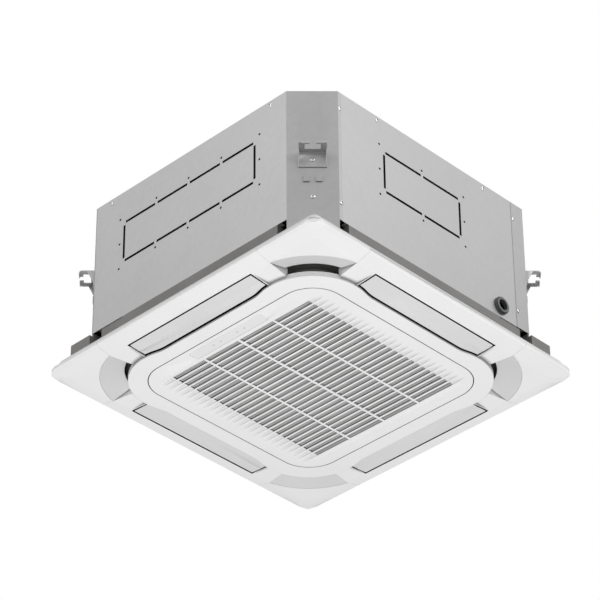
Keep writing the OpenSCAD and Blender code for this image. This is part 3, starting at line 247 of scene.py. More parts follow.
def lamp_window(light, dark, lens):
    """Milky polycarbonate in front of the receiver. The four lamps under it show as faint discs."""
    material = moulded("window_polycarbonate", light, dark, 0.22, 2.5, 0.02)
    tree, surface = material.node_tree, surface_of(material)
    base = surface.inputs["Base Color"].links[0].from_socket
    place = add(tree, "ShaderNodeTexCoord").outputs["Object"]
    near = 1.0
    for y in LAMPS_Y:
        away = add(tree, "ShaderNodeVectorMath", {"operation": "DISTANCE"},
                   {0: place, 1: (LAMP_X, y, FACE)}).outputs["Value"]
        near = maths(tree, "MINIMUM", near, away)
    disc = spread(tree, near, 1.0, 0.0, start=2.6 * MM, end=4.2 * MM)
    feed(tree, surface, {"Base Color": two_tone(tree, disc, base, lens)})
    return material


def rolled_steel(name, light, dark, metallic, roughness, spangle_mm=14):
    """Hot-dip galvanised sheet: zinc spangles of 8 to 20 mm, fine lines from the rolls and a few
    dull smears from handling."""
    material, tree, surface, place = shader(name)
    cells = add(tree, "ShaderNodeTexVoronoi", {"feature": "F1"},
                {"Vector": place, "Scale": 1 / (spangle_mm * MM), "Randomness": 1.0})
    spangle = add(tree, "ShaderNodeSeparateColor", {}, {0: cells.outputs["Color"]}).outputs[0]
    lines = noise(tree, place, 1.2, 3.0, (1, 1, 30))
    smear = noise(tree, place, 130, 4.0)
    mixed = maths(tree, "MULTIPLY_ADD", spangle, 0.16, spread(tree, smear, 0.2, 0.45))
    mixed = maths(tree, "MULTIPLY_ADD", lines, 0.16, mixed)
    dulled = spread(tree, smear, roughness, roughness + 0.05)
    feed(tree, surface, {
        "Base Color": two_tone(tree, mixed, light, dark), "Metallic": metallic,
        "Roughness": maths(tree, "MULTIPLY_ADD", spangle, 0.03, dulled)})
    relief(tree, surface, lines, 0.02, 0.2)
    return material


def bead_foam(name, light, dark, bead_mm=3.5):
    """Expanded polystyrene moulded from beads: soft cells of 3 to 4 mm with dark seams."""
    material, tree, surface, place = shader(name)
    cells = add(tree, "ShaderNodeTexVoronoi", {"feature": "DISTANCE_TO_EDGE"},
                {"Vector": place, "Scale": 1 / (bead_mm * MM)}).outputs["Distance"]
    seam = spread(tree, cells, 1.0, 0.0, start=0.0, end=0.12)
    blotch = noise(tree, place, 90, 3.0)
    factor = maths(tree, "MULTIPLY_ADD", seam, 0.6, spread(tree, blotch, 0.0, 0.4))
    feed(tree, surface, {"Base Color": two_tone(tree, factor, light, dark), "Roughness": 0.8})
    relief(tree, surface, cells, 0.35, 0.8)
    return material


def bare_metal(name, light, dark, roughness):
    """Drawn or turned metal with fine lines along one way."""
    material, tree, surface, place = shader(name)
    lines = noise(tree, place, 0.8, 3.0, (1, 1, 12))
    feed(tree, surface, {
        "Base Color": two_tone(tree, spread(tree, lines, 0, 1), light, dark), "Metallic": 1.0,
        "Roughness": spread(tree, lines, roughness - 0.05, roughness + 0.08)})
    relief(tree, surface, lines, 0.06, 0.15)
    return material


def dull(material):
    """Fibres and open cells swallow most of the light that a smooth face would throw back."""
    feed(material.node_tree, surface_of(material), {"Specular IOR Level": 0.12})
    return material


def painted_floor():
    """Matt white studio board."""
    material, tree, surface, place = shader("matt_studio_board")
    cloud = noise(tree, place, 900)
    feed(tree, surface, {"Base Color": two_tone(tree, cloud, "#F4F4F3", "#EFEFEE"),
                         "Roughness": 0.9})
    return material


def make_finishes():
    """Every finish of the unit, by the record's slot, and three more for parts of a piece."""
    return {
        "galvanised_sheet": rolled_steel("galvanised_sheet_steel", "#BABABA", "#A6A6A6", 0.55,
                                         0.36),
        "corner_sheet": rolled_steel("galvanised_corner_sheet", "#B2B2B2", "#9F9F9F", 0.55, 0.38),
        "hanger_steel": rolled_steel("galvanised_hanger_steel", "#B4B4B4", "#A0A0A0", 0.6, 0.36, 9),
        "zinc_steel": bare_metal("zinc_plated_steel", "#D6D6D6", "#B2B2B2", 0.26),
        "black_rubber": moulded("black_rubber", "#6E6F70", "#5A5B5C", 0.55, 2.0, 0.08),
        # The liner's near black is partly the foam's own colour and partly painted shade, so that
        # the knock-out slits read black
        "liner_foam": dull(bead_foam("black_liner_foam_and_painted_shade", "#0B0B0C", "#060607")),
        "pan_foam": bead_foam("grey_polystyrene_foam", "#949392", "#7F7D7B"),
        "gasket_foam": bead_foam("gasket_foam", "#7D7E80", "#6A6B6D", 1.5),
        "bell_plastic": moulded("bell_mouth_plastic", "#D2D2CF", "#C6C6C3", 0.45),
        "motor_can": moulded("painted_motor_can", "#8E9093", "#7F8184", 0.35, metallic=0.4),
        "fan_plastic": moulded("glass_filled_plastic", "#45474A", "#383A3D", 0.5, 1.8, 0.08),
        "fin_aluminium": bare_metal("fin_aluminium", "#C8CACC", "#AEB0B3", 0.35),
        "copper": bare_metal("drawn_copper", "#C98B62", "#B07450", 0.28),
        "drain_plastic": moulded("drain_plastic", "#D5D5D1", "#C9C9C4", 0.4),
        "box_steel": rolled_steel("galvanised_box_steel", "#BDBEBF", "#A8A9AA", 0.55, 0.36, 10),
        "circuit_board": moulded("circuit_board_laminate", "#2E6B4A", "#24583C", 0.35, 4.0, 0.1),
        # Painted shade: the white ABS greys within 12 mm of gaps, slots and flutes
        "panel_white": moulded("white_abs", "#ECECEC", "#E9E9E9", 0.38, edge_mm=1.0, crevice_mm=12),
        "louver_grey": moulded("grey_white_abs", "#DADADA", "#D5D5D5", 0.36),
        "drive_black": moulded("black_nylon", "#3C3D40", "#303134", 0.45),
        "acetal_white": moulded("acetal", "#E6E6E2", "#DEDEDA", 0.3),
        "filter_net": moulded("polypropylene_net", "#C8C8C8", "#BABABA", 0.5, 1.0),
        "window_plastic": lamp_window("#E6E6E6", "#E2E2E2", "#CFCFCF"),
        # Painted shade: the filter bars are greyer than the net, so that, lit close behind the
        # slots, they read as dim as the net
        "filter_rim_painted_shade": moulded("polypropylene_rim_painted_shade", "#A6A6A6", "#9C9C9C", 0.45),
        # Painted shade: a darker grey for the corner recesses' slopes, on a coarser matt
        "painted_recess_shade": moulded("matt_abs_painted_shade", "#D3D3D3", "#CDCDCD", 0.55, 1.8, 0.08, edge_mm=1.0),
        # Painted shade: near black for the bays, the louver edges and the slit edges, where there
        # is only shadow
        "painted_gap_shade": dull(moulded("black_painted_gap_shade", "#0C0C0D", "#080809", 0.85, 2.0, 0.2)),
    }


# ---------------- pieces from the CAD

# Corner points nearer than this are one, and faces that turn by less than this angle are flat
MERGE, FLAT = 2e-6, math.radians(0.02)
# Degrees by which an edge turns before it gets a rounding
SHARP = 28
# A rounding needs this many times its width beside it, unless the next edge runs on straight
ROOM, STRAIGHT = 2.6, 0.8
# The normal of a standing face has less than this along Z, or through a plate
STANDING = 0.3
# Cosine between normals that count as the same
SAME_WAY = 0.999
# How far a louver's outline is drawn in, and the heights of its blade and of its edges
BLADE_IN, BLADE_THICK, BLADE_EDGE = 2.5 * MM, 5 * MM, 6 * MM
# The flat deck of the rim, the width of its creases, the corner joints and the outer radii
DECK, CREASE, MITRE = 431 * MM, 11 * MM, 24 * MM
PANEL_HALF, PANEL_R, PHOTO_R = 475 * MM, 20 * MM, 38 * MM
GASKET_HALF, GASKET_R, GASKET_PHOTO_R = 473 * MM, 18 * MM, 36 * MM
# Knock-outs: a slit's width, least length and spread; a pilot hole's width and growth; how near
# a measure has to be; and the uncut border of a plate
SLIT, SLIT_LENGTH, SLIT_SPREAD = 4 * MM, 25 * MM, 1.8 * MM
PILOT, PILOT_GROWTH, NEAR, BORDER = 4.4 * MM, 0.5, 0.1 * MM, 14 * MM
# Outlet bays, from the middle: along X, half their length, half their height
BAY_FROM, BAY_TO, BAY_HALF, BAY_HIGH = 0.354, 0.4315, 0.2185, 0.0225
# Corner recesses: middle of the arc, its radius, the start beside the bays, the lowest point
RECESS_MIDDLE, RECESS_R, RECESS_FROM, RECESS_LOW = 0.237, 0.1995, 0.24, -0.0238


def raw_copy(node):
    """The CAD node's triangles with their doubles merged."""
    bm = bmesh.new()
    bm.from_mesh(nodes[node].data)
    bmesh.ops.remove_doubles(bm, verts=bm.verts, dist=MERGE)
    return bm


def merged_copy(node):
    """The CAD node's triangles as closed faces, with the flat ones joined."""
    bm = raw_copy(node)
    bmesh.ops.dissolve_limit(bm, angle_limit=FLAT, verts=bm.verts, edges=bm.edges)
    bm.normal_update()
    return bm


def as_mesh(name, bm):
    """The finished work as a mesh."""
    mesh = bpy.data.meshes.new(name)
    bm.to_mesh(mesh)
    bm.free()
    return mesh


def groups(items, beside):
    """Splits items into groups that hang together. beside gives an item's neighbours."""
    left = dict.fromkeys(items)
    found = []
    while left:
        stack, group = [left.popitem()[0]], []
        while stack:
            item = stack.pop()
            group.append(item)
            for near in beside(item):
                if near in left:
                    del left[near]
                    stack.append(near)
        found.append(group)
    return found


def box_of(points):
    """The low and the high corner of the box round some points."""
    points = list(points)
    return [[pick(p[i] for p in points) for i in range(3)] for pick in (min, max)]


def thin_axis(low, high):
    """The axis along which a plate's box is thinnest."""
    return min(range(3), key=lambda i: high[i] - low[i])


def cut_through(bm, spot, way, dist):
    """Cuts all the faces along a plane."""
    bmesh.ops.bisect_plane(bm, geom=bm.verts[:] + bm.edges[:] + bm.faces[:], dist=dist,
                           plane_co=spot, plane_no=way)


def mark_rounding(bm, width):
    """Gives full bevel weight to the sharp edges that have room for a rounding of that width."""
    weight = bm.edges.layers.float.new("bevel_weight_edge")
    limit = math.radians(SHARP)
    sharp = {e for e in bm.edges if len(e.link_faces) == 2 and e.calc_face_angle(0.0) > limit}
    for edge in sharp:
        way = (edge.verts[1].co - edge.verts[0].co).normalized()
        beside = [near.other_vert(vert).co - vert.co for vert in edge.verts
                  for near in vert.link_edges if near is not edge and near in sharp]
        if all(abs(side.normalized().dot(way)) > STRAIGHT or side.length >= ROOM * width
               for side in beside):
            edge[weight] = 1.0


def place_piece(name, mesh, body, slot, material=None, smooth=SHARP):
    """A finished mesh becomes a piece that rides on its body."""
    piece = new_object(name, mesh)
    mesh.materials.clear()
    mesh.materials.append(material or finishes[slot])
    if smooth:
        mesh.shade_smooth()
        mesh.set_sharp_from_angle(angle=math.radians(smooth))
    else:
        mesh.shade_flat()
    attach(piece, body)
    return piece


def soften(piece, width):
    """A live bevel on the marked edges."""
    bevel = piece.modifiers.new("edge_rounding", "BEVEL")
    bevel.width = width
    bevel.segments = 2
    bevel.limit_method = "WEIGHT"
    bevel.use_clamp_overlap = False
    bevel.harden_normals = True
    bevel.miter_outer = "MITER_ARC"


def rounded(node, body, slot, width):
    """The CAD node again, with the small roundings that a mould or a fold leaves on its edges."""
    is_louver = slot == "louver_grey"
    bm = merged_copy(node)
    if is_louver:
        slim_blade(bm, 0.0 if node == "louver_south" else 1.0 * MM)
    mark_rounding(bm, width)
    piece = place_piece(node + "_form", as_mesh(node + "_form", bm), body, slot)
    soften(piece, width)
    if is_louver:
        blacken_edges(piece)
    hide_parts(node)


def slim_blade(bm, ring_side):
    """Draws a louver's outline in, by 2.5 mm at the outer edge and the ends and by ring_side
    along the ring, where its edges roll up out of the light and widen the dark line of the gap.
    The south louver sits a little closer to the ring."""
    limit = min(v.co.z for v in bm.verts) + BLADE_THICK
    moves = {}
    for vert in bm.verts:
        ways = []
        for face in vert.link_faces:
            new = all(face.normal.dot(way) < SAME_WAY for way, _ in ways)
            if abs(face.normal.z) < STANDING and new:
                inner = face.normal.dot(face.calc_center_median()) < 0
                ways.append((face.normal.copy(), ring_side if inner else BLADE_IN))
        if not ways or vert.co.z > limit:
            continue
        (one, first), (two, second) = ways[0], ways[-1]
        c = one.dot(two)
        if len(ways) == 1:
            moves[vert] = one * first
        elif abs(c) < SAME_WAY:
            moves[vert] = (one * (first - c * second) + two * (second - c * first)) / (1 - c * c)
    for vert, way in moves.items():
        vert.co -= way
    bm.normal_update()


def blacken_edges(louver):
    """Painted shade: the louver's standing edges, its end lugs and its upper faces get the same
    near black as the bays round them, so that the gaps read as black lines.
    """
    louver.data.materials.append(finishes["painted_gap_shade"])
    low = min(v.co.z for v in louver.data.vertices)
    for face in louver.data.polygons:
        if abs(face.normal.z) < STANDING or face.center.z > low + BLADE_EDGE:
            face.material_index = 1


def plain_copy(node, body, slot, work=None, smooth=SHARP):
    """The CAD node again with its doubles merged, so that its curved faces shade as one."""
    bm = raw_copy(node)
    if work:
        work(bm)
    piece = place_piece(node + "_form", as_mesh(node + "_form", bm), body, slot, smooth=smooth)
    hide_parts(node)
    return piece


def ease_rim(bm):
    """Cuts beside the shallow creases of the rim, so that smooth shading turns them over within
    a few millimetres and the flats stay flat, and rounds the panel's corners as photographed."""
    cuts = []
    for way in (Vector((1, 0, 0)), Vector((0, 1, 0))):
        for at in (DECK - CREASE, DECK + CREASE):
            cuts += [(way * at, way), (way * -at, way)]
    for way in (Vector((1, 1, 0)).normalized(), Vector((1, -1, 0)).normalized()):
        cuts += [(way * MITRE, way), (way * -MITRE, way)]
    for spot, way in cuts:
        cut_through(bm, spot, way, 1e-6)
    ease_corners(bm, PANEL_HALF, PANEL_R, PHOTO_R)


def ease_corners(bm, half, old, new):
    """Draws the corners of a square outline of this half width in from one radius to a larger."""
    middle = half - new
    for vert in bm.verts:
        x, y = abs(vert.co.x) - middle, abs(vert.co.y) - middle
        if x <= 0 or y <= 0:
            continue
        far = math.hypot(x, y)
        # How far the old outline lies in this direction
        c, s = x / far, y / far
        edge = new / max(c, s)
        if min(c, s) * edge > new - old:
            k = (new - old) * (c + s)
            edge = k + math.sqrt(k * k - 2 * (new - old) ** 2 + old * old)
        vert.co.x = math.copysign(middle + x * new / edge, vert.co.x)
        vert.co.y = math.copysign(middle + y * new / edge, vert.co.y)


def widen_slits(bm):
    """Spreads the sides of the knock-outs' slits and the pilot holes beside them. The punch
    leaves a drawn-in edge there, which makes them read wider."""
    thin = thin_axis(*box_of(v.co for v in bm.verts))
    across = [i for i in range(3) if i != thin]
    walls = [f for f in bm.faces if abs(f.normal[thin]) < STANDING]
    for faces in groups(walls, lambda f: [near for e in f.edges for near in e.link_faces]):
        verts = {v for face in faces for v in face.verts}
        low, high = box_of(v.co for v in verts)
        sizes = [b - a for a, b in zip(low, high)]
        middle = [(a + b) / 2 for a, b in zip(low, high)]
        is_pilot = all(abs(sizes[i] - PILOT) < NEAR for i in across)
        is_slit = not is_pilot and max(sizes) > SLIT_LENGTH
        for vert in verts:
            for i in range(3):
                if is_pilot and i != thin:
                    vert.co[i] += PILOT_GROWTH * (vert.co[i] - middle[i])
                elif is_slit and abs(sizes[i] - SLIT) < NEAR:
                    vert.co[i] += SLIT_SPREAD * (1 if vert.co[i] > middle[i] else -1)
    refill_flats(bm, thin)


def refill_flats(bm, thin):
    """Fills a plate's flats again between their edges, which the spread slits have skewed."""
    for level in {round(v.co[thin], 5) for v in bm.verts}:
        flat = [f for f in bm.faces if abs(f.normal[thin]) > SAME_WAY
                and all(abs(v.co[thin] - level) < 0.02 * MM for v in f.verts)]
        if not flat:
            continue
        way = flat[0].normal.copy()
        rim = list(dict.fromkeys(e for f in flat for e in f.edges))
        bmesh.ops.delete(bm, geom=flat, context="FACES_ONLY")
        bmesh.ops.delete(bm, geom=[e for e in rim if e.is_wire], context="EDGES")
        rim = [e for e in rim if e.is_valid]
        made = bmesh.ops.triangle_fill(bm, edges=rim, use_beauty=True, normal=way)["geom"]
        for face in made:
            if isinstance(face, bmesh.types.BMFace) and face.normal.dot(way) < 0:
                face.normal_flip()


def darken_cuts(plate):
    """Painted shade: the punched edges of the slits and pilot holes get the near black of the bays,
    so that the knock-outs read as dark lines.
    """
    plate.data.materials.append(finishes["painted_gap_shade"])
    low, high = box_of(v.co for v in plate.data.vertices)
    thin = thin_axis(low, high)
    for face in plate.data.polygons:
        inside = all(low[i] + BORDER < face.center[i] < high[i] - BORDER
                     for i in range(3) if i != thin)
        if inside and abs(face.normal[thin]) < STANDING:
            face.material_index = 1


def paint_panel_shade(panel):
    """Two more finishes of the frame, both painted shade: near black in the four outlet bays, so
    that the gaps round the louvers read as black lines, and a darker grey, coarser matt on the
    corner recesses."""
    panel.data.materials.append(finishes["painted_gap_shade"])
    panel.data.materials.append(finishes["painted_recess_shade"])
    for face in panel.data.polygons:
        spot = face.center
        x, y = sorted((abs(spot.x), abs(spot.y)), reverse=True)
        in_arc = math.hypot(x - RECESS_MIDDLE, y - RECESS_MIDDLE) < RECESS_R and y > RECESS_FROM
        # Bay faces get the near-black painted shade
        if BAY_FROM < x < BAY_TO and y < BAY_HALF and abs(spot.z) < BAY_HIGH:
            face.material_index = 1
        # The recesses' downward slopes get the darker painted-shade grey
        elif in_arc and RECESS_LOW < spot.z < 0.0 and face.normal.z < -0.2:
            face.material_index = 2


def islands(node):
    """Corner points of each closed solid of a node."""
    bm = merged_copy(node)
    found = [[vert.co.copy() for vert in group] for group in
             groups(bm.verts, lambda vert: [e.other_vert(vert) for e in vert.link_edges])]
    bm.free()
    return found


# ---------------- geometry nodes

# Radius and height of the screws' heads
HEAD_R, HEAD_HIGH = 6.2 * MM, 3.3 * MM
# The net's strands as drawn, and the width of the filter frame's bars and of their roundings
NET = {"Row pitch": 6.6 * MM, "Row strand": 3.2 * MM, "Column pitch": 3.3 * MM,
       "Column strand": 1.0 * MM, "Thickness": 0.8 * MM}
BAR, BAR_ROUNDING = 8 * MM, 0.6 * MM


def new_tree(name, sockets):
    """A geometry tree and its inputs. sockets gives each input's label and value; one with None
    takes an object."""
    tree = bpy.data.node_groups.new(name, "GeometryNodeTree")
    for way in ("INPUT", "OUTPUT"):
        tree.interface.new_socket("Geometry", in_out=way, socket_type="NodeSocketGeometry")
    for label, value in sockets.items():
        kind = "NodeSocketObject" if value is None else "NodeSocketFloat"
        socket = tree.interface.new_socket(label, in_out="INPUT", socket_type=kind)
        if value is not None:
            socket.default_value = value
    return tree, add(tree, "NodeGroupInput").outputs


def close_tree(tree, geometry, material):
    """Makes the instances real, gives them their material and ends the tree."""
    real = add(tree, "GeometryNodeRealizeInstances", {}, {0: geometry})
    painted = add(tree, "GeometryNodeSetMaterial", {}, {"Geometry": real.outputs[0],
                                                        "Material": material})
    add(tree, "NodeGroupOutput", {}, {0: painted.outputs[0]})


def attribute(tree, name, kind="FLOAT"):
    """A named attribute of the geometry."""
    return add(tree, "GeometryNodeInputNamedAttribute", {"data_type": kind},
               {"Name": name}).outputs[0]


def grow(tree, mesh, values):
    """Runs a tree on a mesh and gives back the plain mesh that it makes."""
    seed = new_object("seed", mesh)
    run = seed.modifiers.new("grow", "NODES")
    run.node_group = tree
    for item in tree.interface.items_tree:
        if item.item_type == "SOCKET" and item.in_out == "INPUT" and item.name in values:
            run[item.identifier] = values[item.name]
    seed.update_tag()
    graph = bpy.context.evaluated_depsgraph_get()
    graph.update()
    made = bpy.data.meshes.new_from_object(seed.evaluated_get(graph), depsgraph=graph)
    bpy.data.objects.remove(seed)
    return made


def screw_tree(material):
    """Pan-head screws with a cross recess, one on each point and turned to its facing."""
    tree, given = new_tree("pan_head_screws", {
        "Head radius": HEAD_R, "Head height": HEAD_HIGH, "Recess width": 0.3 * HEAD_R,
        "Recess reach": 1.1 * HEAD_R})
    height = given["Head height"]
    # A squat cylinder whose upper rings draw in makes the domed head
    body = add(tree, "GeometryNodeMeshCylinder", {"fill_type": "NGON"}, {
        "Vertices": 28, "Side Segments": 6, "Radius": given["Head radius"], "Depth": height})
    place = add(tree, "GeometryNodeInputPosition").outputs[0]
    up = add(tree, "ShaderNodeSeparateXYZ", {}, {0: place}).outputs[2]
    high = maths(tree, "ADD", maths(tree, "DIVIDE", up, height), 0.5)
    draw = maths(tree, "MULTIPLY_ADD", maths(tree, "POWER", high, 3.2), -0.34, 1.0)
    domed = add(tree, "ShaderNodeVectorMath", {"operation": "MULTIPLY"},
                {0: place, 1: vector(tree, {0: draw, 1: draw, 2: 1.0})})
    form = add(tree, "GeometryNodeSetPosition", {}, {
        "Geometry": body.outputs[0], "Position": domed.outputs[0]}).outputs[0]
    lift = vector(tree, {2: maths(tree, "MULTIPLY", height, 0.5)})
    for x, y in (("Recess reach", "Recess width"), ("Recess width", "Recess reach")):
        bar = add(tree, "GeometryNodeMeshCube", {}, {
            "Size": vector(tree, {0: given[x], 1: given[y], 2: height})})
        bar = add(tree, "GeometryNodeTransform", {}, {"Geometry": bar.outputs[0],
                                                      "Translation": lift})
        form = add(tree, "GeometryNodeMeshBoolean", {"operation": "DIFFERENCE"},
                   {0: form, 1: bar.outputs[0]}).outputs[0]
    seated = add(tree, "GeometryNodeTransform", {}, {"Geometry": form, "Translation": lift})
    turn = add(tree, "FunctionNodeAlignRotationToVector", {"axis": "Z"},
               {"Vector": attribute(tree, "facing", "FLOAT_VECTOR")})
    spin = add(tree, "FunctionNodeRandomValue", {"data_type": "FLOAT"},
               {2: 0.0, 3: 1.5, "Seed": 7})
    turn = add(tree, "FunctionNodeRotateRotation", {"rotation_space": "LOCAL"},
               {0: turn.outputs[0], 1: vector(tree, {2: spin.outputs[1]})})
    points = add(tree, "GeometryNodeMeshToPoints", {}, {0: given[0]})
    many = add(tree, "GeometryNodeInstanceOnPoints", {}, {
        "Points": points.outputs[0], "Instance": seated.outputs[0], "Rotation": turn.outputs[0]})
    close_tree(tree, many.outputs[0], material)
    return tree


def make_screws(node, name, slot):
    """Screw heads on the casing, where the CAD node has them, and facing the same way."""
    spots = []
    for group in islands(node):
        middle = sum(group, Vector()) / len(group)
        x, y = math.copysign(1, middle.x), math.copysign(1, middle.y)
        if node == "hanger_screws":
            out = Vector((x, y, 0)).normalized()
        elif abs(middle.x) > abs(middle.y):
            out = Vector((x, 0, 0))
        else:
            out = Vector((0, y, 0))
        low, high = box_of(group)
        axis = (Vector(low) + Vector(high)) / 2
        reach = max(p.dot(out) for p in group)
        spots.append((axis + out * (reach - axis.dot(out) - HEAD_HIGH), out))
    spots.sort(key=lambda spot: tuple(spot[0]))
    mesh = bpy.data.meshes.new(name)
    mesh.from_pydata([spot for spot, _ in spots], [], [])
    facing = mesh.attributes.new("facing", "FLOAT_VECTOR", "POINT")
    for i, (_, out) in enumerate(spots):
        facing.data[i].vector = out
    made = grow(screw_tree(finishes[slot]), mesh, {})
    piece = place_piece(name, made, "casing", slot, smooth=35)
    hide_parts(node)


def net_tree(material):
    """Two crossing sets of flat strands, the rows along X lying on the columns along Y."""
    tree, given = new_tree("filter_net", {"Width": 0.5, "Length": 0.5, **NET})
    both = add(tree, "GeometryNodeJoinGeometry")
    thick = given["Thickness"]
    for way, long, across, side in (("Row", "Width", "Length", 1),
                                    ("Column", "Length", "Width", 0)):
        pitch = given[way + " pitch"]
        first = maths(tree, "MULTIPLY", given[across], -0.5)
        # Not quite half a strand off the middle, so that the two sets touch
        lift = maths(tree, "MULTIPLY", thick, 0.45 * (1 - 2 * side))
        line = add(tree, "GeometryNodeMeshLine", {}, {
            "Count": maths(tree, "DIVIDE", given[across], pitch),
            "Start Location": vector(tree, {side: first, 2: lift}),
            "Offset": vector(tree, {side: pitch})})
        bar = add(tree, "GeometryNodeMeshCube", {}, {"Size": (1, 1, 1)})
        many = add(tree, "GeometryNodeInstanceOnPoints", {}, {
            "Points": line.outputs[0], "Instance": bar.outputs[0],
            "Scale": vector(tree, {1 - side: given[long], side: given[way + " strand"], 2: thick})})
        tree.links.new(many.outputs[0], both.inputs[0])
    close_tree(tree, both.outputs[0], material)
    return tree


def make_filter():
    """The filter frame's bars, and the net strand by strand. The real net has about 1 mm between
    strands; its rows are drawn at 6.6 mm so that they show through the slots."""
    low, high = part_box("air_filter")
    width, length = high.x - low.x, high.y - low.y
    bm = bmesh.new()
    edges_x, edges_y = [
        sorted(start + (size - BAR) / 4 * i + far for i in range(5) for far in (0, BAR))
        for start, size in ((low.x, width), (low.y, length))]
    corners = {}
    for k, z in enumerate((low.z, high.z)):
        for i, x in enumerate(edges_x):
            for j, y in enumerate(edges_y):
                corners[i, j, k] = bm.verts.new((x, y, z))
    solid = {(i, j) for i in range(9) for j in range(9) if i % 2 == 0 or j % 2 == 0}
    for i, j in solid:
        round_it = ((i, j), (i + 1, j), (i + 1, j + 1), (i, j + 1))
        bm.faces.new([corners[*spot, 1] for spot in round_it])
        bm.faces.new([corners[*round_it[k], 0] for k in (0, 3, 2, 1)])
        for di, dj, a, b in ((-1, 0, 3, 0), (1, 0, 1, 2), (0, -1, 0, 1), (0, 1, 2, 3)):
            if (i + di, j + dj) not in solid:
                one, two = round_it[a], round_it[b]
                bm.faces.new([corners[*one, 0], corners[*two, 0], corners[*two, 1],
                              corners[*one, 1]])
    bmesh.ops.recalc_face_normals(bm, faces=bm.faces)
    bmesh.ops.dissolve_limit(bm, angle_limit=0.01, verts=bm.verts, edges=bm.edges)
    mark_rounding(bm, BAR_ROUNDING)
    # The bars carry the greyer rim finish, a painted shade
    rim = place_piece("air_filter_frame", as_mesh("air_filter_frame", bm), "intake_door",
                      "filter_net", finishes["filter_rim_painted_shade"])
    soften(rim, BAR_ROUNDING)
    net = grow(net_tree(finishes["filter_net"]), bpy.data.meshes.new("filter_net"),
               {"Width": width - BAR, "Length": length - BAR})
    net.transform(Matrix.Translation((low + high) / 2 + Vector((0, 0, NET["Thickness"] / 2))))
    strands = place_piece("filter_net_strands", net, "intake_door", "filter_net", smooth=0)
    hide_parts("air_filter")
    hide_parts("air_filter")


# ---------------- intake grille

# Slots: pitch along X, half width, pitch of the columns along Y, half width of the cross ribs
PITCH, SLOT_HALF, COLUMN, RIB_HALF = 20.4 * MM, 7.5 * MM, 121.5 * MM, 3.5 * MM
# Inner side of the door's skin and of the thicker field, and a level between face and skin
SKIN_TOP, PAD_TOP, IN_SKIN = -30 * MM, -26 * MM, -31 * MM
# The field's middle and first row of slots along X, and the number of rows
FIELD_X, FIRST_X, ROWS = 6 * MM, -249 * MM, 26
# Flutes: length, depth, half width at the far end, and the power by which the depth fades
FLUTE, FLUTE_DEEP, FLUTE_TIP, FLUTE_FADE = 48 * MM, 4.2 * MM, 1.5 * MM, 0.85
# Radius of the slots' lips, how far the thicker field goes on past the slots, and how far a
# slot widens toward the filter
LIP, PAD_REACH, DRAFT = 1.8 * MM, 30 * MM, 1.2 * MM
LIP_STEPS = [math.radians(a) for a in (0, 30, 60, 90)]
FLUTE_STEPS = (0.0, 0.04, 0.1, 0.17, 0.25, 0.33, 0.42, 0.5, 0.58, 0.67, 0.75, 0.83, 0.92, 1.0)
# The round floor of a flute, as shares of its half width and of its depth
FLUTE_FLOOR = ((0.82, 0.86), (0.5, 0.98), (0.0, 1.0))
# Lines along the margins and the side of the thicker field, as distances from the middle
MARGIN_LINES, PAD_HALF = (266.4, 268.5, 270.6, 272.7, 274.8, 276.4), 268 * MM
# Half sizes of the opening that the field fills, the corners of the dish along Y and how far
# its splinters lie from them, the width of the closing strips and the tolerance along them
HOLE_X, HOLE_Y, DISH_Y = 276.9 * MM, 291.5 * MM, 291 * MM
SPLINTER, STRIP, ON_LINE = 0.3 * MM, 0.5 * MM, 0.05 * MM


def sheet_of(bm, rows):
    """Quads between rows of vertices."""
    for low, high in zip(rows, rows[1:]):
        for i in range(len(low) - 1):
            bm.faces.new([low[i], low[i + 1], high[i + 1], high[i]])


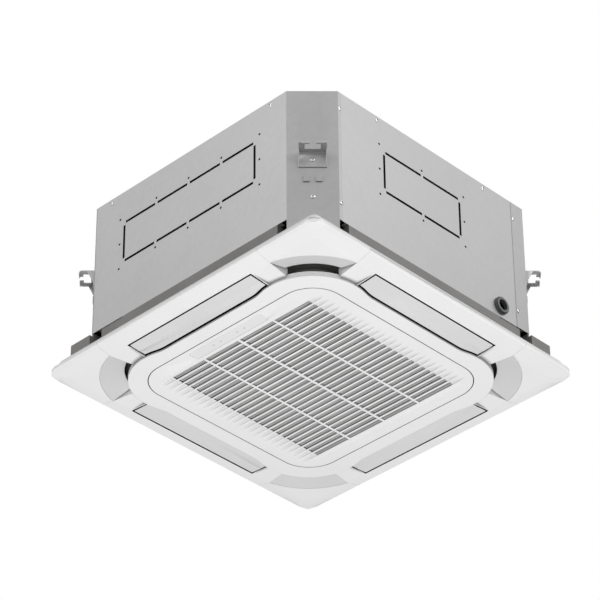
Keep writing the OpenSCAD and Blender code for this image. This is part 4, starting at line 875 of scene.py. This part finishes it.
def slot_cell(end):
    """One slot of the grille with its rounded lips. The end cell has a flute that fades out of
    the slot into the face. Rings run round the slot, and each cell meets the next corner to
    corner."""
    bm = bmesh.new()
    dished = bm.verts.layers.float.new("dished")
    long, half = COLUMN - 2 * RIB_HALF, PITCH / 2
    flute_start = RIB_HALF + long
    far = flute_start + FLUTE + RIB_HALF

    def vertex(p):
        """A vertex on the side that the dish presses in."""
        vert = bm.verts.new(p)
        vert[dished] = 1.0
        return vert

    def oblong(top, z):
        return (-half, 0, z), (half, 0, z), (half, top, z), (-half, top, z)

    def ring(out, z, top=None, draft=0.0):
        low, high = RIB_HALF - out, top or RIB_HALF + long + out
        side = SLOT_HALF + out + draft
        return (-side, low, z), (side, low, z), (side, high, z), (-side, high, z)

    def collar(low, high, sides):
        for i in sides:
            bm.faces.new([low[i], low[(i + 1) % 4], high[(i + 1) % 4], high[i]])

    outs = [LIP * (1 - math.sin(a)) for a in LIP_STEPS]
    ups = [LIP * (1 - math.cos(a)) for a in LIP_STEPS]
    loops = [[vertex(p) for p in oblong(flute_start if end else COLUMN, FACE)]]
    loops += [[vertex(p) for p in ring(out, FACE + up, flute_start if end else None)]
              for out, up in zip(outs, ups)]
    sides = (0, 1, 3) if end else (0, 1, 2, 3)
    for low, high in zip(loops, loops[1:]):
        collar(low, high, sides)
    if end:
        shape = [(1.0, out, up / FLUTE_DEEP) for out, up in zip(outs, ups)]
        shape += [(k, 0.0, g) for k, g in FLUTE_FLOOR]
        rows = []
        for t in FLUTE_STEPS:
            width = SLOT_HALF + (FLUTE_TIP - SLOT_HALF) * t
            deep = FLUTE_DEEP * (1 - t) ** FLUTE_FADE
            right = [(half, 0.0)] + [(width * k + o, deep * g) for k, o, g in shape]
            left = [(-x, z) for x, z in right[:-1]]
            rows.append([(x, flute_start + FLUTE * t, FACE + z) for x, z in left + right[::-1]])
        # The first row starts and ends on the corners of the loops
        shared = {i: loop[3] for i, loop in enumerate(loops)}
        shared.update({len(rows[0]) - 1 - i: loop[2] for i, loop in enumerate(loops)})
        grid = [[shared[i] if k == 0 and i in shared else vertex(p) for i, p in enumerate(row)]
                for k, row in enumerate(rows)]
        sheet_of(bm, grid)
        edge = [vertex((x, far, FACE)) for x in (-half, half)]
        bm.faces.new(grid[-1] + [edge[1], edge[0]])
    rim = [bm.verts.new(p) for p in ring(0, PAD_TOP, draft=DRAFT)]
    collar(loops[-1], rim, sides)
    if end:
        # The slot's end wall stands on the flute's floor
        bm.faces.new(grid[0][4:11] + [rim[2], rim[3]])
    pad_end = COLUMN + PAD_REACH if end else COLUMN
    top = [bm.verts.new(p) for p in oblong(pad_end, PAD_TOP)]
    collar(top, rim, range(4))
    if end:
        foot, back = [[bm.verts.new((x, y, SKIN_TOP)) for x in (-half, half)]
                      for y in (pad_end, far)]
        bm.faces.new([top[3], top[2], foot[1], foot[0]])
        bm.faces.new([foot[0], foot[1], back[1], back[0]])
    return as_object("slot_cell_end" if end else "slot_cell", bm)


def margin_lines():
    """Where the cells' corners lie along Y, which the margins at both sides repeat."""
    start = 2 * COLUMN - RIB_HALF
    lines = [COLUMN] + [start + FLUTE * t for t in FLUTE_STEPS] + [start + FLUTE + RIB_HALF]
    return [-y for y in reversed(lines)] + [0.0] + lines


def margin(bm, side, dished):
    """The strip between the outermost slots and the flat of the door, at side -1 or 1."""
    lines = margin_lines()
    reach = 2 * COLUMN + PAD_REACH
    xs = [FIELD_X + side * d for d in [PITCH * ROWS / 2] + [mm * MM for mm in MARGIN_LINES]]
    face = [[bm.verts.new((x, y, FACE)) for y in lines] for x in xs]
    sheet_of(bm, face)
    for row in face:
        for vert in row:
            vert[dished] = 1.0
    pad = FIELD_X + side * PAD_HALF
    stops = [-lines[-1], -reach, -COLUMN, 0.0, COLUMN, reach, lines[-1]]
    tops = [[bm.verts.new((x, y, PAD_TOP)) for y in stops[1:-1]] for x in (xs[0], pad)]
    sheet_of(bm, tops)
    feet, far = [[bm.verts.new((x, y, SKIN_TOP)) for y in stops] for x in (pad, xs[-1])]
    near = {i: bm.verts.new((xs[0], stops[i], SKIN_TOP)) for i in (0, 1, -2, -1)}
    sheet_of(bm, [tops[1], feet[1:-1]])
    sheet_of(bm, [feet, far])
    for a, b, c in ((0, 1, 0), (-1, -2, -1)):
        bm.faces.new([near[a], near[b], feet[b], feet[a]])
        bm.faces.new([near[b], feet[b], tops[1][c], tops[0][c]])


def grille_tree(material):
    """Sets a cell on each point, welds their rims, and presses the dish into the face."""
    tree, given = new_tree("intake_grille", {
        "Cell": None, "End cell": None, "Margins": None, "Dish depth": 2.5 * MM,
        "Dish half width": 262 * MM, "Dish half length": 243 * MM, "Side fall": 15 * MM,
        "End fall": 48 * MM, "Dish middle": FIELD_X})
    is_end, turn = attribute(tree, "end"), vector(tree, {2: attribute(tree, "turn")})
    points = add(tree, "GeometryNodeMeshToPoints", {}, {0: given[0]})
    joined = add(tree, "GeometryNodeJoinGeometry")
    for socket, test in (("Cell", "LESS_THAN"), ("End cell", "GREATER_THAN")):
        chosen = add(tree, "FunctionNodeCompare", {"data_type": "FLOAT", "operation": test},
                     {0: is_end, 1: 0.5})
        form = add(tree, "GeometryNodeObjectInfo", {}, {0: given[socket]})
        many = add(tree, "GeometryNodeInstanceOnPoints", {}, {
            "Points": points.outputs[0], "Selection": chosen.outputs[0],
            "Instance": form.outputs["Geometry"], "Rotation": turn})
        tree.links.new(many.outputs[0], joined.inputs[0])
    strips = add(tree, "GeometryNodeObjectInfo", {}, {0: given["Margins"]})
    tree.links.new(strips.outputs["Geometry"], joined.inputs[0])
    real = add(tree, "GeometryNodeRealizeInstances", {}, {0: joined.outputs[0]})
    welded = add(tree, "GeometryNodeMergeByDistance", {}, {0: real.outputs[0],
                                                           "Distance": 0.02 * MM})
    place = add(tree, "GeometryNodeInputPosition").outputs[0]
    axes = add(tree, "ShaderNodeSeparateXYZ", {}, {0: place}).outputs
    across = maths(tree, "SUBTRACT", axes[0], given["Dish middle"])
    falls = []
    for value, flat, fall in ((across, "Dish half width", "Side fall"),
                              (axes[1], "Dish half length", "End fall")):
        falls.append(add(tree, "ShaderNodeMapRange", {"interpolation_type": "SMOOTHSTEP"}, {
            "Value": maths(tree, "ABSOLUTE", value), "From Min": given[flat],
            "From Max": maths(tree, "ADD", given[flat], given[fall]), "To Min": 1.0,
            "To Max": 0.0}).outputs[0])
    rise = maths(tree, "MULTIPLY", maths(tree, "MINIMUM", *falls), given["Dish depth"])
    on_face = add(tree, "FunctionNodeCompare", {"data_type": "FLOAT", "operation": "GREATER_THAN"},
                  {0: attribute(tree, "dished"), 1: 0.5})
    dished = add(tree, "GeometryNodeSetPosition", {}, {
        "Geometry": welded.outputs[0], "Selection": on_face.outputs[0],
        "Offset": vector(tree, {2: rise})})
    close_tree(tree, dished.outputs[0], material)
    return tree


def as_object(name, bm):
    """The finished work as an object that a tree can take up."""
    return new_object(name, as_mesh(name, bm))


def grille_field():
    """The slotted, dished middle of the door as one welded sheet."""
    bm = bmesh.new()
    dished = bm.verts.layers.float.new("dished")
    for side in (-1, 1):
        margin(bm, side, dished)
    parts = {"Cell": slot_cell(False), "End cell": slot_cell(True),
             "Margins": as_object("margins", bm)}
    places = []
    for i in range(ROWS):
        x = FIRST_X + PITCH * i
        places += [(x, 0, 0.0, 0.0), (x, 0, 0.0, math.pi), (x, COLUMN, 1.0, 0.0),
                   (x, -COLUMN, 1.0, math.pi)]
    spots = bpy.data.meshes.new("grille_cells")
    spots.from_pydata([(x, y, 0) for x, y, _, _ in places], [], [])
    for label, k in (("end", 2), ("turn", 3)):
        layer = spots.attributes.new(label, "FLOAT", "POINT")
        for i, spot in enumerate(places):
            layer.data[i].value = spot[k]
    made = grow(grille_tree(finishes["panel_white"]), spots, parts)
    for part in parts.values():
        bpy.data.objects.remove(part)
    return made


def make_grille():
    """The door: its rim, walls, hinge seats and catches from the CAD, and the field between."""
    west, east = FIELD_X - HOLE_X, FIELD_X + HOLE_X
    bm = raw_copy("grille_door")
    for spot, way in (((west, 0, 0), (1, 0, 0)), ((east, 0, 0), (1, 0, 0)),
                      ((0, HOLE_Y, 0), (0, 1, 0)), ((0, -HOLE_Y, 0), (0, 1, 0))):
        cut_through(bm, spot, way, 1e-7)
    inside = [f for f in bm.faces if west < f.calc_center_median().x < east
              and abs(f.calc_center_median().y) < HOLE_Y]
    bmesh.ops.delete(bm, geom=inside, context="FACES")
    # The dish's corners leave splinters along the cut, which close up to one vertex each
    for corner in [Vector((x, y, FACE)) for x in (west, east) for y in (-DISH_Y, DISH_Y)]:
        close = [v for v in bm.verts if (v.co - corner).length < SPLINTER]
        bmesh.ops.pointmerge(bm, verts=close, merge_co=corner)
    bm.from_mesh(grille_field())
    # Strips close the seam between the rim's cut and the field's edge
    rims = {v for e in bm.edges if e.is_boundary for v in e.verts}
    sides = ((0, west, west + STRIP, 1), (0, east, east - STRIP, 1),
             (1, -HOLE_Y, -HOLE_Y + STRIP, 0), (1, HOLE_Y, HOLE_Y - STRIP, 0))
    for under in (True, False):
        level = [v for v in rims if (v.co.z < IN_SKIN) == under]
        for axis, outer, inner, along in sides:
            low, high = (-HOLE_Y, HOLE_Y) if along else (west, east)
            lines = [sorted([v for v in level if abs(v.co[axis] - at) < ON_LINE
                             and low + gap < v.co[along] < high - gap],
                            key=lambda v: v.co[along])
                     for at, gap in ((outer, -ON_LINE), (inner, STRIP - ON_LINE))]
            bm.faces.new(lines[0] + lines[1][::-1])
    bmesh.ops.recalc_face_normals(bm, faces=bm.faces)
    piece = place_piece("grille_door_form", as_mesh("grille_door_form", bm), "intake_door",
                        "panel_white", smooth=36)
    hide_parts("grille_door")


# ---------------- the unit

make_camera()
make_room()
finishes = make_finishes()

body_of = {}
for body, members in frame["record"]["behaviour"]["bodies"].items():
    for member in members:
        body_of[member] = body
slot_of = {part["node"]: part["material_slot"] for part in frame["record"]["subparts"]}

for name, node in nodes.items():
    node.data.materials.clear()
    node.data.materials.append(finishes[slot_of[name]])

# Width in mm of the rounding that each piece has on its edges
roundings = {
    "louver_west": 0.8, "louver_south": 0.8, "louver_east": 0.8, "louver_north": 0.8,
    "receiver_window": 0.5, "hanger_sw": 0.6, "hanger_se": 0.6, "hanger_ne": 0.6, "hanger_nw": 0.6,
    "cable_grommet": 1.6, "fan_motor": 1.2, "control_box": 0.5, "control_box_cover": 0.4,
    "drain_socket": 0.8, "drain_pump": 1.0, "latch_bodies": 0.8, "latch_plunger_south": 0.6,
    "latch_plunger_north": 0.6, "louver_motors": 0.8, "louver_bushes": 0.5, "pump_float": 0.6,
    "terminal_block": 0.5, "panel_bolts": 0.5, "fan_nut": 0.5,
}
for name, width in roundings.items():
    rounded(name, body_of[name], slot_of[name], width * MM)
for name in ("turbo_fan", "bell_mouth"):
    plain_copy(name, body_of[name], slot_of[name])
plain_copy("ceiling_gasket", "casing", "gasket_foam",
           lambda bm: ease_corners(bm, GASKET_HALF, GASKET_R, GASKET_PHOTO_R))
for side in ("west", "south", "east", "north"):
    name = "side_plate_" + side
    darken_cuts(plain_copy(name, "casing", slot_of[name], widen_slits, 0))
for corner in ("sw", "se", "ne", "nw"):
    plain_copy("corner_cover_" + corner, "casing", "panel_white", ease_rim, 18)
paint_panel_shade(plain_copy("panel_frame", "casing", "panel_white", ease_rim, 18))
make_grille()
for kind in ("casing_screw", "hanger_screw"):
    make_screws(kind + "s", kind + "_heads", "zinc_steel")
make_filter()
